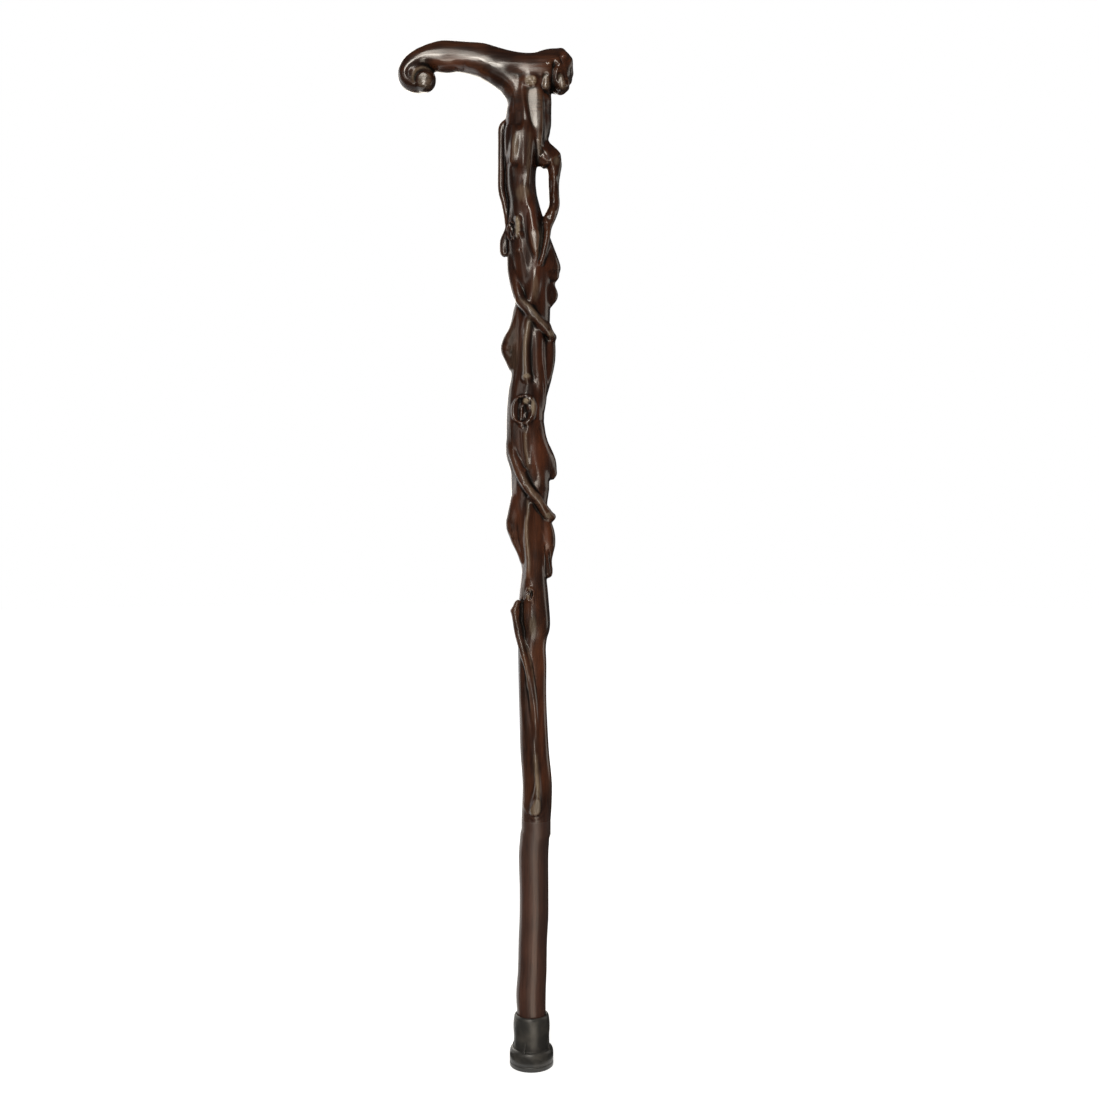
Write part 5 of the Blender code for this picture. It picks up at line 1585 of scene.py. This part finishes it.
def copyRelief(mesh, places, values):
    tree = KDTree(len(places))
    for index, place in enumerate(places):
        tree.insert(place, index)
    tree.balance()
    found = [tree.find(vertex.co / mm)[1] for vertex in mesh.vertices]
    for name, marks in values.items():
        attribute = mesh.attributes.get(name) or mesh.attributes.new(name, "FLOAT", "POINT")
        attribute.data.foreach_set("value", marks[found])


def slicePiece(mesh, name, low, high, material):
    # The part of the wood between two heights, with flat closed ends.
    bm = bmesh.new()
    bm.from_mesh(mesh)
    for level, keepAbove in ((low, True), (high, False)):
        if level is None:
            continue
        normal = (0.0, 0.0, -1.0) if keepAbove else (0.0, 0.0, 1.0)
        cut = bmesh.ops.bisect_plane(
            bm,
            geom=[*bm.verts, *bm.edges, *bm.faces],
            plane_co=(0.0, 0.0, level * mm),
            plane_no=normal,
            clear_outer=True,
            dist=1e-7,
        )
        rim = [item for item in cut["geom_cut"] if isinstance(item, bmesh.types.BMEdge)]
        filled = bmesh.ops.holes_fill(bm, edges=rim, sides=0)["faces"]
        for face in filled:
            for edge in face.edges:
                edge.smooth = False
        bmesh.ops.triangulate(bm, faces=filled)
    bmesh.ops.recalc_face_normals(bm, faces=bm.faces)
    for face in bm.faces:
        face.smooth = True
    piece = bpy.data.meshes.new(name)
    bm.to_mesh(piece)
    bm.free()
    piece.materials.clear()
    piece.materials.append(material)
    obj = bpy.data.objects.new(name, piece)
    scene.collection.objects.link(obj)
    return obj


# Materials.

woodFinish = {
    # deep: the dark of the grain lines, and the painted shade in hollows
    "deep": (0.0050, 0.0028, 0.0021),
    "body": (0.0200, 0.0074, 0.0044),
    "warm": (0.0820, 0.0265, 0.0108),
    "worn": (0.1150, 0.0500, 0.0240),
    # glow: the red-brown of the painted light in the glow spots
    "glow": (0.1500, 0.0440, 0.0170),
    # heart: pale bare wood, also the colour of painted highlights and sheen
    "heartwoodAndSheen": (0.290, 0.235, 0.170),
    "ring": (0.170, 0.130, 0.088),
    "roughness": 0.46,
    "specular": 0.10,
    "ior": 1.45,
    "coatIor": 1.48,
    # the lacquer's roughness in its smooth and in its duller streaks
    "coatRoughness": (0.13, 0.27),
    # painted shade: how much darker the wood is painted higher up
    "shade": (0.58, 0.52, 0.50),
    # metres above the lower joint between which the turned shaft's stain ends
    "footFade": (-0.001, 0.020),
    # each noise: scale across the grain and along it, detail
    "streaks": (130.0, 14.0, 3.0),
    "cords": (330.0, 26.0, 2.0),
    "grain": (1100.0, 50.0, 2.0),
    "clouds": (34.0, 34.0, 2.0),
    "skin": (240.0, 240.0, 1.0),
    "depths": {"grain": 0.00005, "cords": 0.00016, "skin": 0.00010},
}
# The turned shaft took the stain less deeply, so it is greyer and more even.
turnedFinish = {
    **woodFinish,
    # deep: the dark of the grain lines, and the painted shade in hollows
    "deep": (0.0130, 0.0060, 0.0045),
    "body": (0.0455, 0.0190, 0.0130),
    "warm": (0.0770, 0.0305, 0.0190),
    "worn": (0.0740, 0.0330, 0.0200),
    "coatRoughness": (0.30, 0.42),
}


def woodMaterial(name, finish, alongGrip):
    material, start = newMaterial(name)
    place = start.node("ShaderNodeTexCoord", output="Object")

    def finishColour(shade):
        return colour(*finish[shade])

    def mark(attribute):
        return start.node("ShaderNodeAttribute", {"attribute_name": attribute}, output="Fac")

    def noise(across, along, detail):
        axes = (along, across, across) if alongGrip else (across, across, along)
        stretched = start.node("ShaderNodeMapping", inputs={"Vector": place, "Scale": axes})
        inputs = {"Vector": stretched, "Scale": 1.0, "Detail": detail, "Roughness": 0.5}
        return start.node("ShaderNodeTexNoise", inputs=inputs)

    kinds = ("streaks", "cords", "grain", "clouds", "skin")
    noises = {kind: noise(*finish[kind]) for kind in kinds}
    streaks, cords, grain, clouds = (noises[kind] for kind in kinds[:4])
    relief, bareAndSheen, gloss, glow = (mark(kind) for kind in ("relief", "bareAndSheen", "gloss", "glow"))
    # how deep a point lies in a hollow; it sets the painted shade there, and a duller, rougher
    # lacquer
    hollowShade = (0.0 - relief).fade(0.03, 0.50)
    raised = relief.fade(0.0, 0.65)
    tone = (streaks * 0.55 + clouds * 0.45).fade(0.36, 0.66)
    upward = start.node("ShaderNodeSeparateXYZ", inputs={0: place}, output="Z")
    jointHeight = levels["lowerJoint"] * mm
    below, above = finish["footFade"]
    foot = 1.0 - upward.fade(jointHeight + below, jointHeight + above)
    footTone = tone.blend(colour(*turnedFinish["body"]), colour(*turnedFinish["warm"]))
    body = foot.blend(tone.blend(finishColour("body"), finishColour("warm")), footTone)
    worn = (raised * (0.25 + 0.75 * clouds.fade(0.35, 0.65))).blend(body, finishColour("worn"))
    lined = (grain.fade(0.42, 0.70) * 0.40).blend(worn, finishColour("deep"))
    # painted light: the glow spots paint the wood a lighter red-brown
    paintedLightColour = (glow * (0.4 + 0.6 * tone)).blend(lined, finishColour("glow"))
    # painted shade: hollows are painted the deep colour
    hollowsShaded = hollowShade.blend(paintedLightColour, finishColour("deep"))
    # pale colour of bare wood, used for bare spots and for painted highlights and sheen
    heartwoodAndSheen = grain.fade(0.35, 0.65).blend(finishColour("heartwoodAndSheen"), finishColour("ring"))
    # painted shade: the wood is painted darker higher up, and less so near the top
    higherShade = upward.fade(0.38, 0.62) * (1.0 - 0.6 * upward.fade(0.80, 0.87))
    shaded = higherShade.blend(hollowsShaded, finishColour("shade"), "MULTIPLY")
    # pale spots: bare wood, and painted highlights and sheen
    base = bareAndSheen.blend(shaded, heartwoodAndSheen)
    roughness = finish["roughness"] + 0.12 * (clouds - 0.5) + 0.2 * hollowShade
    coat = (1.0 - 0.9 * hollowShade) * (1.0 - 0.7 * bareAndSheen) * gloss
    bumped = None
    for kind, depth in finish["depths"].items():
        inputs = {"Strength": 1.0, "Distance": depth, "Height": noises[kind]}
        if bumped:
            inputs["Normal"] = bumped
        bumped = start.node("ShaderNodeBump", inputs=inputs)

    def lacquered(coatRoughness):
        return start.node(
            "ShaderNodeBsdfPrincipled",
            inputs={
                "Base Color": base,
                "Roughness": roughness,
                "Normal": bumped,
                "IOR": finish["ior"],
                "Specular IOR Level": finish["specular"],
                "Coat Weight": coat,
                "Coat Roughness": coatRoughness,
                "Coat IOR": finish["coatIor"],
            },
        )

    smooth, dulled = (lacquered(coatRoughness) for coatRoughness in finish["coatRoughness"])
    share = cords.fade(0.35, 0.65) + foot
    mixed = start.node("ShaderNodeMixShader", inputs={0: share, 1: smooth, 2: dulled})
    finishMaterial(start, mixed)
    return material


rubberFinish = {
    "black": (0.0280, 0.0275, 0.0262),
    "dusty": (0.060, 0.056, 0.050),
    "roughness": 0.37,
    "specular": 0.5,
    # each noise: scale, detail
    "clouds": (70.0, 4.0),
    "pebbles": (1700.0, 2.0),
    "pebbleDepth": 0.00006,
}


def rubberMaterial():
    material, start = newMaterial("mouldedRubber")
    place = start.node("ShaderNodeTexCoord", output="Object")

    def noise(scale, detail):
        inputs = {"Vector": place, "Scale": scale, "Detail": detail}
        return start.node("ShaderNodeTexNoise", inputs=inputs)

    dust = noise(*rubberFinish["clouds"]).fade(0.45, 0.72)
    pebbles = noise(*rubberFinish["pebbles"])
    black, dusty = colour(*rubberFinish["black"]), colour(*rubberFinish["dusty"])
    bumped = start.node(
        "ShaderNodeBump",
        inputs={"Strength": 1.0, "Distance": rubberFinish["pebbleDepth"], "Height": pebbles},
    )
    surface = start.node(
        "ShaderNodeBsdfPrincipled",
        inputs={
            "Base Color": dust.blend(black, dusty),
            "Roughness": rubberFinish["roughness"] + 0.10 * dust,
            "Normal": bumped,
            "Specular IOR Level": rubberFinish["specular"],
        },
    )
    finishMaterial(start, surface)
    return material


steelFinish = {
    "dark": (0.50, 0.50, 0.49),
    "light": (0.62, 0.62, 0.60),
    "roughness": 0.30,
    # turning lines: scale in x, y and z, strength and depth of the bump
    "lines": (60.0, 60.0, 2400.0),
    "lineStrength": 0.6,
    "lineDepth": 0.00003,
    "patches": 420.0,
}


def steelMaterial():
    material, start = newMaterial("zincPlatedSteel")
    place = start.node("ShaderNodeTexCoord", output="Object")
    turned = start.node(
        "ShaderNodeMapping", inputs={"Vector": place, "Scale": steelFinish["lines"]}
    )

    def noise(vector, scale, detail):
        inputs = {"Vector": vector, "Scale": scale, "Detail": detail}
        return start.node("ShaderNodeTexNoise", inputs=inputs)

    lines = noise(turned, 1.0, 2.0)
    patches = noise(place, steelFinish["patches"], 3.0)
    dark, light = colour(*steelFinish["dark"]), colour(*steelFinish["light"])
    bumped = start.node(
        "ShaderNodeBump",
        inputs={
            "Strength": steelFinish["lineStrength"],
            "Distance": steelFinish["lineDepth"],
            "Height": lines,
        },
    )
    surface = start.node(
        "ShaderNodeBsdfPrincipled",
        inputs={
            "Base Color": patches.fade(0.35, 0.7).blend(dark, light),
            "Metallic": 1.0,
            "Roughness": steelFinish["roughness"] + 0.16 * patches,
            "Normal": bumped,
        },
    )
    finishMaterial(start, surface)
    return material


# Ferrule.

ferruleShape = {
    "sides": 120,
    "ribs": 4,
    "firstRib": -25.0,
    "ribThickness": 1.8,
    "ribSoftness": 0.45,
    # a rib from the side: radius and height
    "ribOutline": (
        (14.4, 14.0), (18.3, 14.0), (18.2, 16.2), (17.0, 19.0), (15.9, 24.6), (14.4, 25.0),
    ),
    "sharpAngle": 38.0,
    # radius and height of the half section, from the middle of the underside to the bore's floor
    "profile": (
        (0.0, 0.0),
        (5.5, 0.0), (5.6, 1.2), (7.4, 1.2), (7.5, 0.0),
        (11.0, 0.0), (11.1, 1.2), (12.9, 1.2), (13.0, 0.0),
        (18.1, 0.0), (18.7, 0.15), (19.05, 0.5), (19.2, 1.1),
        (19.2, 3.5), (18.85, 3.8), (18.7, 4.3), (18.85, 4.8), (19.2, 5.1),
        (19.2, 9.5), (19.1, 12.0), (18.8, 13.8), (18.1, 15.2), (17.2, 15.9), (16.3, 16.1),
        (15.7, 15.8), (15.5, 16.2), (15.6, 17.4), (15.65, 20.5), (15.45, 24.5),
        (15.6, 27.5), (15.9, 31.0), (16.0, 34.0), (15.9, 37.0), (15.6, 40.2),
        (15.3, 41.9), (15.1, 43.2), (14.6, 44.2), (13.9, 44.8), (13.4, 44.9),
        (13.0, 44.7), (12.9, 44.2), (12.9, 8.0),
        (0.0, 8.0),
    ),
}


def ribObject():
    # One small web with softened edges, standing at bearing 0 on +X.
    half = ferruleShape["ribThickness"] / 2
    outline, soft = ferruleShape["ribOutline"], ferruleShape["ribSoftness"] * mm
    bm = bmesh.new()
    left = [bm.verts.new(Vector((x, -half, z)) * mm) for x, z in outline]
    right = [bm.verts.new(Vector((x, half, z)) * mm) for x, z in outline]
    bm.faces.new(left)
    bm.faces.new(right[::-1])
    for index in range(len(outline)):
        after = (index + 1) % len(outline)
        bm.faces.new((left[after], left[index], right[index], right[after]))
    bmesh.ops.recalc_face_normals(bm, faces=bm.faces)
    bmesh.ops.bevel(bm, geom=[*bm.edges], offset=soft, segments=3, profile=0.5, affect="EDGES")
    mesh = bpy.data.meshes.new("ferruleRib")
    bm.to_mesh(mesh)
    bm.free()
    obj = bpy.data.objects.new("ferruleRib", mesh)
    scene.collection.objects.link(obj)
    return obj


def ferruleTree():
    # Turns the half section round the cane's axis and joins the ribs to it.
    inputs = (
        ("Section", "Geometry"),
        ("Sides", "Int"),
        ("Section Points", "Int"),
        ("Ribs", "Int"),
        ("First Rib", "Float"),
        ("Rib", "Object"),
        ("Rubber", "Material"),
    )
    tree, given = newTree("turnedFerrule", inputs, "Ferrule")
    section, sides, points, ribCount, firstRib, rib, rubber = given
    start = Signal(tree)

    def part(vector, axis):
        return start.node("ShaderNodeSeparateXYZ", inputs={0: vector}, output=axis)

    grid = start.node(
        "GeometryNodeMeshGrid",
        inputs={"Size X": 1.0, "Size Y": 1.0, "Vertices X": sides + 1.0, "Vertices Y": points},
    )
    position = start.node("GeometryNodeInputPosition")
    turn = (part(position, "X") + 0.5) * math.tau
    row = (part(position, "Y") + 0.5) * (points - 1.0)
    sampled = start.node(
        "GeometryNodeSampleIndex",
        {"data_type": "FLOAT_VECTOR", "domain": "POINT"},
        {"Geometry": section, "Value": position, "Index": row.math("ROUND", row)},
    )
    radius = part(sampled, "X")
    around = start.node(
        "ShaderNodeCombineXYZ",
        inputs={
            "X": radius * turn.math("COSINE", turn),
            "Y": radius * turn.math("SINE", turn),
            "Z": part(sampled, "Z"),
        },
    )
    turned = start.node("GeometryNodeSetPosition", inputs={"Geometry": grid, "Position": around})
    closed = start.node(
        "GeometryNodeMergeByDistance", inputs={"Geometry": turned, "Distance": 0.000004}
    )
    ring = start.node(
        "GeometryNodeMeshCircle", {"fill_type": "NONE"}, {"Vertices": ribCount, "Radius": 0.001}
    )
    centred = start.node(
        "GeometryNodeSetPosition", inputs={"Geometry": ring, "Position": (0.0, 0.0, 0.0)}
    )
    shape = start.node(
        "GeometryNodeObjectInfo", {"transform_space": "ORIGINAL"}, {"Object": rib}, "Geometry"
    )
    number = start.node("GeometryNodeInputIndex")
    share = number.math("DIVIDE", number * math.tau, ribCount)
    bearing = share + firstRib.math("RADIANS", firstRib - 90.0)
    spin = start.node("ShaderNodeCombineXYZ", inputs={"Z": bearing})
    rotation = start.node("FunctionNodeEulerToRotation", inputs={0: spin})
    ribs = start.node(
        "GeometryNodeInstanceOnPoints",
        inputs={"Points": centred, "Instance": shape, "Rotation": rotation},
    )
    loose = start.node("GeometryNodeRealizeInstances", inputs={0: ribs})
    joined = start.node(
        "GeometryNodeMeshBoolean",
        {"operation": "UNION", "solver": "EXACT"},
        {"Mesh 2": closed},
        output="Mesh",
    )
    # both meshes go into the same socket
    tree.links.new(loose.socket, joined.socket.node.inputs["Mesh 2"])
    finishTree(start, joined, rubber)
    return tree


def makeFerrule(rubber):
    profile = ferruleShape["profile"]
    mesh = bpy.data.meshes.new("ferruleSection")
    edges = [(index, index + 1) for index in range(len(profile) - 1)]
    mesh.from_pydata([(x * mm, 0.0, z * mm) for x, z in profile], edges, [])
    blank = bpy.data.objects.new("ferruleSection", mesh)
    scene.collection.objects.link(blank)
    rib = ribObject()
    tree = ferruleTree()
    modifier = blank.modifiers.new("turned", "NODES")
    modifier.node_group = tree
    for name, value in (
        ("Sides", ferruleShape["sides"]),
        ("Section Points", len(profile)),
        ("Ribs", ferruleShape["ribs"]),
        ("First Rib", ferruleShape["firstRib"]),
        ("Rib", rib),
        ("Rubber", rubber),
    ):
        modifier[socketOf(tree, name)] = value
    grown = grownMesh(blank, "rubberFerrule")
    bm = bmesh.new()
    bm.from_mesh(grown)
    bmesh.ops.remove_doubles(bm, verts=bm.verts, dist=0.000002)
    bmesh.ops.recalc_face_normals(bm, faces=bm.faces)
    bm.to_mesh(grown)
    bm.free()
    grown.shade_smooth()
    grown.set_sharp_from_angle(angle=math.radians(ferruleShape["sharpAngle"]))
    bpy.data.objects.remove(blank)
    bpy.data.objects.remove(rib)
    ferrule = bpy.data.objects.new("rubberFerrule", grown)
    scene.collection.objects.link(ferrule)
    return ferrule


# Build.

shaftWood = woodMaterial("lacqueredShaftWood", woodFinish, False)
handleWood = woodMaterial("lacqueredHandleWood", woodFinish, True)
turnedWood = woodMaterial("lacqueredTurnedWood", turnedFinish, False)
forms = rootForms()
rings = [knotPath(knot) for knot in knots.values()]
rims = [np.vstack([ring, ring[:1]]) for ring in rings]
blank = rawWood(shaftWood, forms, rings)
print("wood blank:", len(blank.vertices), "points")
skin = oneSkin(blank)
meltTogether(skin, forms, rims)
softenHandle(skin)
skin = oneSkin(skin)
skinEdges = readEdges(skin)
relief = Relief(relax(readPlaces(skin), skinEdges, carving["relaxRounds"]))
writePlaces(skin, relief.places)
print("one skin:", len(skin.polygons), "faces")
sculpt(relief, forms, rims)
carvedPlaces = relief.places + readNormals(skin) * relief.rise[:, None]
carvedPlaces = relax(carvedPlaces, skinEdges, 4, 0.22 + 0.22 * step(relief.height, -4.0, 6.0))
writePlaces(skin, keepInside(carvedPlaces))
reliefPlaces, reliefValues = markRelief(skin)
deepest, highest = float(relief.rise.min()), float(relief.rise.max())
print("carving done, relief from", round(deepest, 2), "to", round(highest, 2))

lowerJoint, upperJoint = levels["lowerJoint"], levels["upperJoint"]
onShaft = (reliefPlaces[:, 2] > lowerJoint) & (reliefPlaces[:, 2] < upperJoint)
light = thinned(skin, carving["faceLimit"] / np.mean(onShaft))
marks = {"relief": reliefValues, "bareAndSheen": relief.bareAndSheen, "gloss": relief.gloss, "glow": relief.glow}
copyRelief(light, reliefPlaces, marks)
turnedPiece = slicePiece(light, "turnedShaft", None, lowerJoint, turnedWood)
carvedPiece = slicePiece(light, "carvedShaft", lowerJoint, upperJoint, shaftWood)
handlePiece = slicePiece(light, "scrollHandle", upperJoint, None, handleWood)
for piece in (turnedPiece, carvedPiece, handlePiece):
    print(piece.name, len(piece.data.polygons), "faces")

ferrulePiece = makeFerrule(rubberMaterial())
print("ferrule:", len(ferrulePiece.data.polygons), "faces")

steel = steelMaterial()
for name in ("handle_stud", "shaft_stud", "ferrule_washer"):
    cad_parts[name].data.materials.clear()
    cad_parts[name].data.materials.append(steel)

for piece, node, body, slot in (
    (handlePiece, "handle", "cane", "lacquered_wood"),
    (carvedPiece, "upper_shaft", "cane", "lacquered_wood"),
    (turnedPiece, "lower_shaft", "cane", "lacquered_wood"),
    (ferrulePiece, "ferrule", "ferrule", "black_rubber"),
):
    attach(piece, body)
    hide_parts(node)

print("pieces placed")
